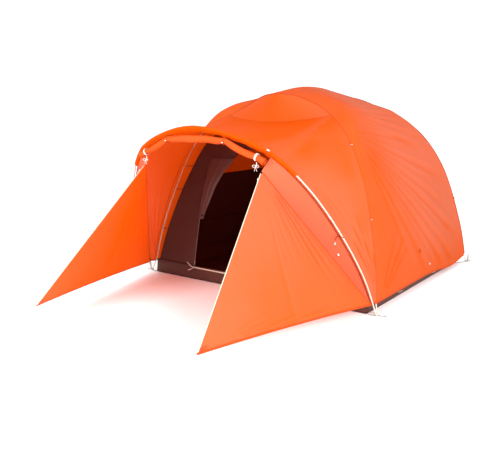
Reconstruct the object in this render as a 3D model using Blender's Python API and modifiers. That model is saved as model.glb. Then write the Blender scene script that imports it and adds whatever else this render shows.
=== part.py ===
"""A four-person dome tent on poles, pitched, with a hooped porch and two guyed-out wings.

Frame: origin on the ground under the middle of the tent floor, +Z up, the porch towards -Y,
+X to the right of someone who looks in through the door. Metres.
"""
import math

import bmesh
import bpy
import numpy as np
from mathutils import Vector

# Driving dimensions
FLOOR_WIDTH = 2.40
FLOOR_LENGTH = 2.19
TUB_HEIGHT = 0.13
POLE_RADIUS = 0.0055
CLOTH = 0.002          # thickness of a fabric solid
SEAM_GAP = 0.004       # clearance that a panel keeps to the line it is sewn along
HEM_HEIGHT = 0.10
HUB_HEIGHT = 1.845     # height of the pole crossing
POLE_COVER = 0.026     # depth of a main pole's middle under the fly
CROSSING_GAP = 0.0165  # height of each main pole's middle from the hub's, where they cross
HOOP_LEAN = math.radians(26.9)
SLEEVE_RADIUS = 0.0125
SLEEVE_HALF = 0.865    # half width of the porch hoop that the sleeve covers
ROOF_SAG = 0.03        # how far the porch roof sags between the seam and the hoop
PANEL_SAG = 0.03       # how far a fly panel curves in between its poles
ROLL_RADIUS = 0.027
ROLL_TIES = (-0.585, -0.30, 0.30, 0.585)
TIE_CLEARANCE = 0.003
TIE_THICKNESS = 0.002
TIE_HALF_WIDTH = 0.008
TOGGLE_LENGTH = 0.036
TOGGLE_RADIUS = 0.0045
DOOR_JAMB_X = 0.70
BROWN_TOP = 0.98       # height where the solid inner walls end and the mesh canopy starts

# Feet of the poles
FRONT_FOOT = (1.285, -1.075)
REAR_FOOT = (1.285, 1.255)

# Fly over the right-hand half of each main pole, from the foot up to the crossing
FRONT_LEG = [(1.285, -1.075, 0.0), (1.205, -1.005, 0.50), (1.043, -0.873, 1.07),
             (0.951, -0.795, 1.321), (0.845, -0.707, 1.519), (0.758, -0.634, 1.64),
             (0.632, -0.529, 1.721), (0.443, -0.371, 1.785), (0.0, 0.0, 1.83)]
REAR_LEG = [(1.285, 1.255, 0.0), (1.215, 1.185, 0.45), (1.035, 1.01, 1.10),
            (0.815, 0.795, 1.495), (0.51, 0.50, 1.715), (0.0, 0.0, 1.83)]
# Right-hand seams of the fly, from a foot up to an end of the brow pole
FRONT_RIDGE = [(1.285, -1.075, 0.0), (1.205, -1.005, 0.50), (1.035, -0.895, 1.08),
               (0.80, -0.79, 1.465), (0.52, -0.61, 1.65), (0.406, -0.58, 1.712),
               (0.263, -0.60, 1.775), (0.148, -0.63, 1.808), (0.0, -0.66, 1.826)]
REAR_RIDGE = [(1.285, 1.255, 0.0), (1.215, 1.185, 0.45), (1.035, 1.01, 1.10),
              (0.80, 0.86, 1.465), (0.52, 0.72, 1.65), (0.30, 0.68, 1.755),
              (0.15, 0.675, 1.80), (0.0, 0.68, 1.822)]
# Lines of a side panel that lie over the main poles and end on the crown
FRONT_CREST = [(1.285, -0.99, 0.0), (1.207, -0.93, 0.50), (1.06, -0.845, 1.07),
               (0.965, -0.79, 1.321), (0.857, -0.705, 1.521), (0.768, -0.635, 1.642),
               (0.64, -0.53, 1.724), (0.45, -0.375, 1.79), (0.22, -0.19, 1.855),
               (0.0, -0.10, 1.903)]
REAR_CREST = [(1.287, 1.17, 0.0), (1.22, 1.10, 0.45), (1.045, 0.965, 1.10),
              (0.935, 0.90, 1.315), (0.815, 0.795, 1.495), (0.67, 0.65, 1.63),
              (0.51, 0.50, 1.715), (0.37, 0.36, 1.765), (0.20, 0.19, 1.835),
              (0.0, 0.10, 1.903)]
PANEL_KNEE = 1.645     # height where the front of a side panel turns in towards the crown
# Top line of the fly over the brow pole, and the brow pole, both from front to back
SPINE = [(0.0, -0.66, 1.826), (0.0, -0.45, 1.868), (0.0, -0.22, 1.897), (0.0, 0.0, 1.905),
         (0.0, 0.22, 1.897), (0.0, 0.45, 1.868), (0.0, 0.68, 1.822)]
BROW_POLE = [(0.0, -0.63, 1.806), (0.0, -0.45, 1.843), (0.0, -0.22, 1.8705),
             (0.0, 0.0, 1.8785), (0.0, 0.22, 1.8705), (0.0, 0.45, 1.843), (0.0, 0.65, 1.802)]
BROW_RADIUS = 0.005
# Porch hoop: half width and height measured in its own leaning plane
HOOP_HALF = [(1.285, 0.0), (1.235, 0.42), (1.115, 0.83), (0.935, 1.21), (0.70, 1.485),
             (0.37, 1.645), (0.0, 1.715)]
# Corner seams of the inner tent
INNER_FRONT = [(1.20, -1.095, 0.0), (1.155, -1.02, 0.45), (0.99, -0.885, 1.02),
               (0.72, -0.74, 1.40), (0.46, -0.55, 1.57), (0.0, 0.0, 1.72)]
INNER_REAR = [(1.20, 1.095, 0.0), (1.16, 1.10, 0.45), (0.975, 0.955, 1.07),
              (0.74, 0.73, 1.43), (0.46, 0.46, 1.62), (0.0, 0.0, 1.72)]

# Porch wings
WING_TOP = (0.617, -1.785, 1.205)
WING_HEEL = (1.262, -1.135, 0.10)
WING_TIP = (0.844, -2.816, 0.126)
GUY_END = (0.852, -2.985, 0.0025)
GUY_RADIUS = 0.0012

COLOURS = {
    "fly": ((0.95, 0.19, 0.03), 0.65),
    "inner": ((0.07, 0.03, 0.025), 0.8),
    "mesh": ((0.80, 0.22, 0.06), 0.8),
    "floor": ((0.10, 0.02, 0.01), 0.55),
    "pole": ((0.85, 0.76, 0.66), 0.4),
    "webbing": ((0.45, 0.42, 0.40), 0.75),
    "plastic": ((0.62, 0.60, 0.58), 0.45),
    "hub": ((0.30, 0.30, 0.31), 0.4),
    "cord": ((0.80, 0.74, 0.66), 0.7),
}

PARTS = None


# --- small helpers -------------------------------------------------------------------------

def mirrored(points):
    """The same points on the left-hand side."""
    return [(-x, y, z) for x, y, z in points]


def sided(points, side):
    """Points for the right-hand side (+1) or the left-hand side (-1)."""
    return [(side * x, y, z) for x, y, z in points]


def smooth_path(points, count):
    """Evenly spaced points on a smooth curve through the given ones."""
    knots = np.array(points, dtype=float)
    steps = np.sqrt(np.linalg.norm(np.diff(knots, axis=0), axis=1))
    times = np.concatenate(([0.0], np.cumsum(steps)))
    slopes = np.gradient(knots, times, axis=0)
    curve = [knots[0]]
    for index in range(len(knots) - 1):
        span = times[index + 1] - times[index]
        for t in np.linspace(0.0, 1.0, 25)[1:]:
            start = (1 + 2 * t) * (1 - t) ** 2 * knots[index]
            end = t * t * (3 - 2 * t) * knots[index + 1]
            leave = t * (1 - t) ** 2 * span * slopes[index]
            arrive = t * t * (t - 1) * span * slopes[index + 1]
            curve.append(start + end + leave + arrive)
    return resample(curve, count)


def resample(points, count):
    """The same line cut into evenly spaced points."""
    line = np.array(points, dtype=float)
    length = np.concatenate(([0.0], np.cumsum(np.linalg.norm(np.diff(line, axis=0), axis=1))))
    even = np.linspace(0.0, length[-1], count)
    return np.stack([np.interp(even, length, line[:, k]) for k in range(3)], axis=1)


def above(line, height):
    """The part of a rising line that is above a height, cut exactly at it."""
    line = np.array(line, dtype=float)
    first = int(np.argmax(line[:, 2] > height))
    low, high = line[first - 1], line[first]
    cut = low + (high - low) * (height - low[2]) / (high[2] - low[2])
    return np.vstack([cut, line[first:]])


def below(line, height):
    """The part of a rising line that is below a height, cut exactly at it."""
    line = np.array(line, dtype=float)
    first = int(np.argmax(line[:, 2] > height))
    low, high = line[first - 1], line[first]
    cut = low + (high - low) * (height - low[2]) / (high[2] - low[2])
    return np.vstack([line[:first], cut])


def material_for(kind):
    """The Principled material of one kind of cloth, metal or plastic."""
    found = bpy.data.materials.get(kind)
    if found:
        return found
    colour, roughness = COLOURS[kind]
    made = bpy.data.materials.new(kind)
    made.use_nodes = True
    shader = made.node_tree.nodes["Principled BSDF"]
    shader.inputs["Base Color"].default_value = (*colour, 1.0)
    shader.inputs["Roughness"].default_value = roughness
    return made


def add_part(name, data, kind, parent=None):
    """Puts a mesh or curve into the tent's collection, with its material."""
    part = bpy.data.objects.new(name, data)
    PARTS.objects.link(part)
    own = material_for(kind).copy()
    own.name = name
    data.materials.append(own)
    if parent:
        part.parent = parent
        part.matrix_parent_inverse = parent.matrix_basis.inverted()
    return part


def pivot(name, place):
    """An empty on a joint's axis, for the pieces that turn or slide there."""
    empty = bpy.data.objects.new(name, None)
    empty.location = place
    PARTS.objects.link(empty)
    return empty


def tube(name, points, radius, kind, parent=None, fineness=2):
    """A round bar or cord along a line of points, with closed ends."""
    data = bpy.data.curves.new(name, "CURVE")
    data.dimensions = "3D"
    data.bevel_depth = radius
    data.bevel_resolution = fineness
    data.use_fill_caps = True
    spline = data.splines.new("POLY")
    spline.points.add(len(points) - 1)
    for spot, place in zip(spline.points, points):
        spot.co = (*place, 1.0)
    return add_part(name, data, kind, parent)


def cloth(name, rows, kind, parent=None, thickness=CLOTH, offset=1.0, closed=False):
    """A thin fabric solid on a grid of points. Rows are listed so that the grid faces out."""
    mesh = bpy.data.meshes.new(name)
    build = bmesh.new()
    grid = [[build.verts.new(tuple(point)) for point in row] for row in rows]
    across = len(grid[0])
    for low, high in zip(grid, grid[1:]):
        for index in range(across if closed else across - 1):
            after = (index + 1) % across
            corners = [low[index], low[after], high[after], high[index]]
            if (corners[2].co - corners[3].co).length < 1e-6:
                corners = corners[:3]
            build.faces.new(corners)
    bmesh.ops.remove_doubles(build, verts=build.verts, dist=1e-5)
    build.to_mesh(mesh)
    build.free()
    part = add_part(name, mesh, kind, parent)
    shell = part.modifiers.new("thickness", "SOLIDIFY")
    shell.thickness = thickness
    shell.offset = offset
    return part


def block(name, size, place, kind, parent=None, turn=0.0, tilt=None, bevel=0.0):
    """A box with its own size, place and turn about Z, with softened edges if asked."""
    mesh = bpy.data.meshes.new(name)
    build = bmesh.new()
    bmesh.ops.create_cube(build, size=1.0)
    bmesh.ops.scale(build, vec=size, verts=build.verts)
    if bevel:
        bmesh.ops.bevel(build, geom=build.edges[:], offset=bevel, segments=1, affect="EDGES")
    build.to_mesh(mesh)
    build.free()
    part = add_part(name, mesh, kind)
    part.rotation_mode = "QUATERNION"
    if tilt is not None:
        part.rotation_quaternion = Vector(tilt).to_track_quat("Z", "Y")
    else:
        part.rotation_quaternion = (math.cos(turn / 2), 0.0, 0.0, math.sin(turn / 2))
    part.location = place
    if parent:
        part.parent = parent
        part.matrix_parent_inverse = parent.matrix_basis.inverted()
    return part


def loft(start, end, across, sag=(0.0, 0.0, 0.0), inset=(SEAM_GAP, SEAM_GAP)):
    """Rows between two lines, kept clear of both, with the middle moved by the sag."""
    rows = []
    count = len(start)
    for index, (first, last) in enumerate(zip(start, end)):
        first, last = np.array(first), np.array(last)
        width = max(np.linalg.norm(last - first), 1e-6)
        near = min(inset[0] / width, 0.45)
        far = 1.0 - min(inset[1] / width, 0.45)
        belly = math.sin(math.pi * index / (count - 1))
        row = []
        for u in np.linspace(near, far, across):
            point = first + (last - first) * u
            row.append(point + np.array(sag) * 4 * u * (1 - u) * belly)
        rows.append(row)
    return rows


# --- poles ---------------------------------------------------------------------------------

def inside_of(line, distance):
    """A line moved towards the middle of the tent, from the fly onto the pole under it."""
    line = np.array(line, dtype=float)
    middle = np.array([0.0, 0.0, 0.25])
    outward = line - middle
    outward[:, 2] = np.maximum(outward[:, 2], 0.0)
    outward /= np.linalg.norm(outward, axis=1)[:, None]
    return line - outward * distance


def main_pole(name, front_side, height, sections):
    """One main pole, foot to opposite foot, as separate sections that butt end to end."""
    front = smooth_path(sided(FRONT_LEG, front_side), 40)
    rear = smooth_path(sided(REAR_LEG, -front_side), 40)
    line = inside_of(np.vstack([front, rear[::-1][1:]]), POLE_COVER)
    line[0] = (front_side * FRONT_FOOT[0], FRONT_FOOT[1], 0.006)
    line[-1] = (-front_side * REAR_FOOT[0], REAR_FOOT[1], 0.006)
    crossing = np.exp(-(np.linalg.norm(line[:, :2], axis=1) / 0.30) ** 2)
    line[:, 2] += crossing * (height - line[:, 2])
    pole_sections(name, resample(line, 8 * sections * 3 + 1), sections)


def pole_sections(name, line, sections, gap=0.0012):
    """Cuts a pole's line into equal sections with a small gap at each ferrule."""
    length = np.sum(np.linalg.norm(np.diff(line, axis=0), axis=1))
    share = length / sections
    travelled = np.concatenate(([0.0], np.cumsum(np.linalg.norm(np.diff(line, axis=0), axis=1))))
    for number in range(sections):
        start = number * share + (gap / 2 if number else 0.0)
        stop = (number + 1) * share - (gap / 2 if number < sections - 1 else 0.0)
        places = np.linspace(start, stop, 10)
        points = np.stack([np.interp(places, travelled, line[:, k]) for k in range(3)], axis=1)
        tube(f"{name}_section_{number + 1}", points, POLE_RADIUS, "pole")


def hoop_point(half, up):
    """A point of the porch hoop's leaning plane, from half width and distance up the slope."""
    return (half, FRONT_FOOT[1] - up * math.sin(HOOP_LEAN), up * math.cos(HOOP_LEAN))


def hoop_line(count):
    """The whole hoop, left foot to right foot."""
    half = [hoop_point(x, up) for x, up in HOOP_HALF]
    return smooth_path(mirrored(half) + half[::-1][1:], count)


def hoop_pole():
    line = hoop_line(161)
    line[:, 1] -= 0.014 * np.clip(1 - line[:, 2] / 0.25, 0.0, 1.0)
    line[:, 2] = np.maximum(line[:, 2], 0.006)
    pole_sections("hoop_pole", line, 5)


def brow_pole():
    tube("brow_pole", smooth_path(BROW_POLE, 15), BROW_RADIUS, "pole")


def pole_hub():
    """The flat swivel disc that sits between the two main poles where they cross."""
    mesh = bpy.data.meshes.new("pole_hub")
    build = bmesh.new()
    bmesh.ops.create_cone(build, cap_ends=True, segments=20, radius1=0.014, radius2=0.014,
                          depth=0.008)
    build.to_mesh(mesh)
    build.free()
    hub = add_part("pole_hub", mesh, "hub")
    hub.location = (0.0, 0.0, HUB_HEIGHT)


# --- inner tent ----------------------------------------------------------------------------

def tub_floor():
    """The waterproof floor: a flat sheet with low walls, open at the top."""
    slope = 0.006
    corners = [(-1, -1), (1, -1), (1, 1), (-1, 1)]
    outline = []
    for (x0, y0), (x1, y1) in zip(corners, corners[1:] + corners[:1]):
        for t in (0.0, 0.25, 0.5, 0.75):
            outline.append((x0 + (x1 - x0) * t, y0 + (y1 - y0) * t))
    mesh = bpy.data.meshes.new("tub_floor")
    build = bmesh.new()
    base = [build.verts.new((x * FLOOR_WIDTH / 2, y * FLOOR_LENGTH / 2, 0.003))
            for x, y in outline]
    rim = [build.verts.new((x * (FLOOR_WIDTH / 2 - slope), y * (FLOOR_LENGTH / 2 - slope),
                            TUB_HEIGHT)) for x, y in outline]
    build.faces.new(base[::-1])
    for index in range(len(base)):
        after = (index + 1) % len(base)
        build.faces.new([base[index], base[after], rim[after], rim[index]])
    build.to_mesh(mesh)
    build.free()
    part = add_part("tub_floor", mesh, "floor")
    shell = part.modifiers.new("thickness", "SOLIDIFY")
    shell.thickness = 0.003
    shell.offset = 1.0
    shell.use_even_offset = True


def inner_seam(points, side):
    return smooth_path(sided(points, side), 60)


def inner_walls():
    """Solid lower walls of the inner tent, from the tub's rim up to the mesh canopy."""
    base = TUB_HEIGHT + 0.004
    seams = {}
    for label, points in (("front", INNER_FRONT), ("rear", INNER_REAR)):
        for side in (-1, 1):
            line = below(above(inner_seam(points, side), base), BROWN_TOP)
            seams[label, side] = resample(line, 7)
    inward = 0.02
    cloth("inner_wall_right", loft(seams["front", 1], seams["rear", 1], 9, (-inward, 0, 0)),
          "inner", offset=-1.0)
    cloth("inner_wall_left", loft(seams["rear", -1], seams["front", -1], 9, (inward, 0, 0)),
          "inner", offset=-1.0)
    cloth("inner_wall_rear", loft(seams["rear", 1], seams["rear", -1], 9, (0, -inward, 0)),
          "inner", offset=-1.0)
    for side, label in ((-1, "left"), (1, "right")):
        edge = seams["front", side]
        jamb = [(side * DOOR_JAMB_X, point[1], point[2]) for point in edge]
        pair = (edge, jamb) if side < 0 else (jamb, edge)
        cloth(f"inner_front_{label}", loft(pair[0], pair[1], 4), "inner", offset=-1.0)


DOOR_COLUMNS = (1, 2, 3, 4)     # steps of a canopy ring that are open over the door


def mesh_canopy():
    """The see-through upper canopy: one dome from the top of the walls to the crossing."""
    heights = [BROWN_TOP + 0.008, 1.15, 1.30, 1.45, 1.57, 1.66]
    front = inner_seam(INNER_FRONT, 1)
    rear = inner_seam(INNER_REAR, 1)
    rings = []
    for height in heights:
        fore, aft = above(front, height)[0], above(rear, height)[0]
        rings.append(canopy_ring(fore, aft, height))
    mesh = bpy.data.meshes.new("mesh_canopy")
    build = bmesh.new()
    grid = [[build.verts.new(point) for point in ring] for ring in rings]
    top = build.verts.new((0.0, 0.0, 1.715))
    across = len(grid[0])
    for level, (low, high) in enumerate(zip(grid, grid[1:])):
        for index in range(across):
            after = (index + 1) % across
            if level < 2 and index in DOOR_COLUMNS:
                continue
            build.faces.new([low[index], low[after], high[after], high[index]])
    last = grid[-1]
    for index in range(across):
        build.faces.new([last[index], last[(index + 1) % across], top])
    loose = [vert for vert in build.verts if not vert.link_faces]
    bmesh.ops.delete(build, geom=loose, context="VERTS")
    build.to_mesh(mesh)
    build.free()
    part = add_part("mesh_canopy", mesh, "mesh")
    shell = part.modifiers.new("thickness", "SOLIDIFY")
    shell.thickness = CLOTH
    shell.offset = -1.0


def canopy_ring(fore, aft, height):
    """One level of the canopy, counted from the front left corner round by the right."""
    ring = []
    jamb = min(DOOR_JAMB_X + 0.02, abs(fore[0]) * 0.86)
    for x in (-abs(fore[0]), -jamb, -jamb / 2, 0.0, jamb / 2, jamb):
        ring.append((x, fore[1], height))
    ring.append((fore[0], fore[1], height))
    for t in (1 / 3, 2 / 3):
        ring.append((fore[0] + (aft[0] - fore[0]) * t, fore[1] + (aft[1] - fore[1]) * t, height))
    ring.append((aft[0], aft[1], height))
    ring.append((aft[0] / 3, aft[1], height))
    ring.append((-aft[0] / 3, aft[1], height))
    ring.append((-aft[0], aft[1], height))
    for t in (2 / 3, 1 / 3):
        ring.append((-(fore[0] + (aft[0] - fore[0]) * t), fore[1] + (aft[1] - fore[1]) * t,
                     height))
    return ring


def front_wall_y(height):
    """How far forward the leaning front wall is at a height."""
    return above(inner_seam(INNER_FRONT, 1), height)[0][1]


def door_header():
    """The band over the doorway that the door flap hangs from."""
    rows = []
    for height, half in ((1.20, 0.60), (1.25, 0.56), (1.29, 0.52)):
        y = front_wall_y(height)
        rows.append([(x, y, height) for x in np.linspace(-half, half, 7)])
    cloth("door_header", rows, "inner", offset=-1.0)


def door_flap():
    """The inner door, gathered like a curtain against its left jamb and tied back."""
    hinge = pivot("door_flap_pivot", (-DOOR_JAMB_X, front_wall_y(0.6), 0.6))
    outline = [(1.185, -0.655, -0.36), (1.08, -0.665, -0.45), (0.92, -0.675, -0.53),
               (0.76, -0.682, -0.58), (0.60, -0.685, -0.625)]
    rows = []
    for height, left, right in outline[::-1]:
        y = front_wall_y(height) - 0.012
        depth = 0.022 + 0.010 * (1.185 - height)
        rows.append([(left, y, height), (left, y - depth, height), (right, y - depth, height),
                     (right, y, height)])
    mesh = bpy.data.meshes.new("door_flap")
    build = bmesh.new()
    grid = [[build.verts.new(point) for point in row] for row in rows]
    for low, high in zip(grid, grid[1:]):
        for index in range(4):
            after = (index + 1) % 4
            build.faces.new([low[index], low[after], high[after], high[index]])
    build.faces.new(grid[0][::-1])
    build.faces.new(grid[-1])
    bmesh.ops.recalc_face_normals(build, faces=build.faces)
    build.to_mesh(mesh)
    build.free()
    add_part("door_flap", mesh, "inner", hinge)
    y = front_wall_y(0.62) - 0.012 - 0.0285
    block("door_tie_back", (0.040, 0.004, 0.012), (-0.655, y - 0.0030, 0.64), "webbing",
          hinge)


def door_zips():
    """Sliders of the inner door: one up the left jamb and one along the sill."""
    lean = np.array([0.0, front_wall_y(0.55) - front_wall_y(0.15), 0.40])
    start = np.array([-DOOR_JAMB_X + 0.012, front_wall_y(0.17) - 0.008, 0.17])
    jamb = pivot("jamb_zip_pivot", tuple(start))
    block("jamb_zip_slider", (0.008, 0.005, 0.014), tuple(start), "plastic", jamb, tilt=lean)
    sill = pivot("sill_zip_pivot", (-0.655, -FLOOR_LENGTH / 2 - 0.004, 0.122))
    block("sill_zip_slider", (0.014, 0.005, 0.008), (-0.655, -FLOOR_LENGTH / 2 - 0.005, 0.122),
          "plastic", sill)


# --- fly -----------------------------------------------------------------------------------

def ridge(points, side, count):
    return smooth_path(sided(points, side), count)


def panel_line(points, side, rows=(9, 5)):
    """A line of a side panel from the hem to the crown, cut at the knee to keep step."""
    line = above(ridge(points, side, 240), HEM_HEIGHT)
    knee = int(np.argmax(line[:, 2] > PANEL_KNEE))
    upper = resample(line[knee:], rows[1] + 1)[1:]
    upper[-1] = move(upper[-1], upper[-2], CROWN_GAP)
    return np.vstack([resample(line[:knee + 1], rows[0] + 1), upper])


CROWN_GAP = 0.006      # clearance of a side panel from the middle of the crown


def side_rows(side):
    """A side panel's rows: over the front pole, across the side and over the rear pole."""
    lines = [panel_line(points, side)
             for points in (FRONT_RIDGE, FRONT_CREST, REAR_CREST, REAR_RIDGE)]
    rows = []
    for index, (seam, front, rear, back) in enumerate(zip(*lines)):
        belly = math.sin(math.pi * index / (len(lines[0]) - 1))
        middle = [front + (rear - front) * t
                  - np.array([side * PANEL_SAG * 4 * t * (1 - t) * belly, 0.0, 0.0])
                  for t in (0.25, 0.5, 0.75)]
        row = [move(seam, front, SEAM_GAP), (seam + front) / 2, front, *middle, rear,
               (rear + back) / 2, move(back, rear, SEAM_GAP)]
        rows.append(np.array(row))
    top = rows[-1]
    for point in top:
        point[2] = np.interp(point[1], [p[1] for p in SPINE], [p[2] for p in SPINE])
    return [row if side > 0 else row[::-1] for row in rows]


def fly_sides():
    """Side panels of the fly, from the hem to the crown, between the front and rear seams."""
    for side, label in ((1, "right"), (-1, "left")):
        cloth(f"fly_side_{label}", side_rows(side), "fly")


def fly_rear():
    edges = [panel_line(REAR_RIDGE, side)[:-1] for side in (1, -1)]
    cloth("fly_rear", loft(edges[0], edges[1], 9, (0.0, -PANEL_SAG, 0.0)), "fly")


def seam_point(x):
    """The sagging seam between the fly's front and the porch roof."""
    return (x, -0.79 + 0.40 * x * x, 1.560 + 0.16 * x * x)


SEAM_END_X = 0.575


def fly_front():
    """The front of the dome, from the porch seam up between the seams to the brow pole."""
    line = ridge(FRONT_RIDGE, 1, 240)
    corner = np.array(seam_point(SEAM_END_X))
    start = int(np.argmin(np.linalg.norm(line - corner, axis=1)))
    right = resample(line[start:], 9)[:-1]
    rows = []
    for index, edge in enumerate(right):
        left_share = 1.0 - index / 8
        row = []
        for u in np.linspace(-1.0, 1.0, 9):
            sag = (np.array(seam_point(SEAM_END_X * u)) - corner) * [0, 1, 1] * left_share
            row.append(edge * [u, 1, 1] + sag)
        rows.append(row)
    shrink(rows, FRONT_GAP)
    cloth("fly_front", rows, "fly")


FRONT_GAP = 0.010      # clearance of the fly's front from the seams round it


def shrink(rows, gap):
    """Moves the rim of a grid inwards by a gap, so that it stays clear of its neighbours."""
    rows[0] = [move(low, high, gap) for low, high in zip(rows[0], rows[1])]
    rows[-1] = [move(high, low, gap) for high, low in zip(rows[-1], rows[-2])]
    for row in rows:
        row[0] = move(row[0], row[1], gap)
        row[-1] = move(row[-1], row[-2], gap)


def move(point, target, distance):
    point, target = np.array(point, dtype=float), np.array(target, dtype=float)
    step = target - point
    return point + step * (distance / max(np.linalg.norm(step), 1e-6))


ROOF_HALF = 0.70


def under_hoop(point, distance=0.022):
    """A point of the hoop moved inwards, to the fabric that runs under the pole."""
    x, y, z = point
    middle = np.array([0.0, -1.45, 0.70])
    away = np.array([x, y, z]) - middle
    away /= np.linalg.norm(away)
    return np.array([x, y, z]) - away * distance


def porch_roof():
    """The roof of the porch, from the seam on the dome forward to the hoop."""
    line = hoop_line(241)
    top = line[np.abs(line[:, 0]) <= ROOF_HALF]
    front = [under_hoop(point) for point in resample(top, 9)]
    rows = []
    for t in np.linspace(0.0, 1.0, 7):
        row = []
        for u, edge in zip(np.linspace(-1.0, 1.0, 9), front):
            back = np.array(seam_point(SEAM_END_X * u)) + np.array([0.0, -0.004, -0.001])
            point = np.array(edge) + (back - np.array(edge)) * t
            point[2] -= ROOF_SAG * 4 * t * (1 - t)
            row.append(point)
        rows.append(row)
    shrink(rows, SEAM_GAP)
    cloth("porch_roof", rows, "fly")


def hoop_leg(side, count):
    """The hoop's leg on one side, from the hem up to the porch roof."""
    line = hoop_line(241)
    line = line[::-1] if side > 0 else line
    leg = line[(side * line[:, 0] >= ROOF_HALF) & (line[:, 2] >= HEM_HEIGHT)]
    return [under_hoop(point) for point in resample(leg, count)]


def porch_sides():
    """Side panels of the porch: from the dome's leg, under the hoop, to the wing's fold line."""
    for side, label in ((1, "right"), (-1, "left")):
        leg = above(ridge(FRONT_RIDGE, side, 240), HEM_HEIGHT)
        end = int(np.argmin(np.linalg.norm(leg - np.array(seam_point(side * SEAM_END_X)), axis=1)))
        back = resample(leg[:end + 1], 11)
        middle = hoop_leg(side, 11)
        top, heel = np.array(WING_TOP), np.array(WING_HEEL)
        fold = [(heel + (top - heel) * t) * [side, 1, 1] for t in np.linspace(0.0, 1.0, 11)]
        rows = []
        for index, (rear, hoop, front) in enumerate(zip(back, middle, fold)):
            rear, hoop, front = np.array(rear), np.array(hoop), np.array(front)
            droop = np.array([0.0, 0.0, ROOF_SAG * 4 * (2 / 9) * (index / 10) ** 6])
            row = [move(rear, hoop, SEAM_GAP), rear + (hoop - rear) / 3 - droop,
                   rear + (hoop - rear) * 2 / 3 - droop, hoop, (hoop + front) / 2,
                   move(front, hoop, SEAM_GAP)]
            rows.append(row if side < 0 else row[::-1])
        rows[-1] = [move(high, low, SEAM_GAP) for high, low in zip(rows[-1], rows[-2])]
        cloth(f"porch_side_{label}", rows, "fly", offset=-1.0)


def wings():
    """Triangular wings of the porch, each on its fold line, with the guy cord at its tip."""
    for side, label in ((1, "right"), (-1, "left")):
        top, heel, tip = (np.array(sided([corner], side)[0])
                          for corner in (WING_TOP, WING_HEEL, WING_TIP))
        fold = pivot(f"wing_{label}_pivot", tuple(heel))
        rows = []
        for t in np.linspace(0.0, 0.97, 9):
            rear = heel + (top - heel) * t
            fore = tip + (top - tip) * t
            row = [move(rear, fore, SEAM_GAP)]
            row += [rear + (fore - rear) * u for u in (0.2, 0.4, 0.6, 0.8)]
            row.append(fore)
            rows.append(row if side < 0 else row[::-1])
        cloth(f"wing_{label}", rows, "fly", fold, offset=-1.0)
        end = np.array(sided([GUY_END], side)[0])
        start = move(tip, end, 0.006)
        sagging = (start + end) / 2 + np.array([0.0, 0.0, -0.004])
        tube(f"guy_cord_{label}", smooth_path([start, sagging, end], 24), GUY_RADIUS, "cord", fold)
        slider = move(top, tip, 0.075) + np.array([0.0, -0.012, 0.0])
        block(f"wing_zip_slider_{label}", (0.009, 0.006, 0.016), tuple(slider), "plastic", fold,
              tilt=tuple(tip - top))


def pole_sleeve():
    """The fabric sleeve that holds the porch roof to the hoop, as an open-ended tube."""
    line = hoop_line(241)
    held = resample(line[np.abs(line[:, 0]) <= SLEEVE_HALF], 25)
    normal = np.array([0.0, math.cos(HOOP_LEAN), math.sin(HOOP_LEAN)])
    rows = []
    for index, point in enumerate(held):
        ahead = held[min(index + 1, len(held) - 1)] - held[max(index - 1, 0)]
        ahead /= np.linalg.norm(ahead)
        outward = np.cross(normal, ahead)
        ring = []
        for turn in np.linspace(0.0, 2 * math.pi, 9)[:-1]:
            ring.append(point + SLEEVE_RADIUS * (math.cos(turn) * outward
                                                 + math.sin(turn) * normal))
        rows.append(ring)
    cloth("pole_sleeve", rows, "fly", offset=-1.0, closed=True)


ROLL_LINE = [(-0.655, -1.795, 1.285), (-0.49, -1.812, 1.345), (-0.30, -1.832, 1.425),
             (0.0, -1.845, 1.445), (0.30, -1.832, 1.425), (0.49, -1.812, 1.345),
             (0.655, -1.795, 1.285)]


def rolled_door():
    """The porch door, rolled up and tied under the hoop."""
    tube("rolled_door", smooth_path(ROLL_LINE, 22), ROLL_RADIUS, "fly", fineness=4)


def roll_ties():
    """Four webbing loops that hold the roll, and the toggles that close the outer two."""
    line = smooth_path(ROLL_LINE, 201)
    for number, x in enumerate(ROLL_TIES):
        index = int(np.argmin(np.abs(line[:, 0] - x)))
        along = Vector(line[index + 1] - line[index - 1]).normalized()
        mesh = bpy.data.meshes.new(f"roll_tie_{number + 1}")
        build = bmesh.new()
        inner = ROLL_RADIUS + TIE_CLEARANCE
        outer = inner + TIE_THICKNESS
        half = TIE_HALF_WIDTH
        profile = [(inner, -half), (outer, -half), (outer, half), (inner, half)]
        rings = []
        for turn in np.linspace(0.0, 2 * math.pi, 17)[:-1]:
            rings.append([build.verts.new((r * math.cos(turn), r * math.sin(turn), h))
                          for r, h in profile])
        for index_a, ring in enumerate(rings):
            after = rings[(index_a + 1) % len(rings)]
            for k in range(4):
                build.faces.new([ring[k], after[k], after[(k + 1) % 4], ring[(k + 1) % 4]])
        bmesh.ops.recalc_face_normals(build, faces=build.faces)
        build.to_mesh(mesh)
        build.free()
        tie = add_part(f"roll_tie_{number + 1}", mesh, "webbing")
        tie.rotation_mode = "QUATERNION"
        tie.rotation_quaternion = along.to_track_quat("Z", "Y")
        tie.location = tuple(line[index])
        if number in (0, 3):
            label = "left" if number == 0 else "right"
            hang = line[index] - np.array([0.0, 0.0, outer + 0.0055])
            joint = pivot(f"toggle_{label}_pivot", tuple(hang))
            tube(f"toggle_{label}", [hang, hang - np.array([0.0, 0.0, TOGGLE_LENGTH])],
                 TOGGLE_RADIUS, "plastic", joint)


# --- corners -------------------------------------------------------------------------------

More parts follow.
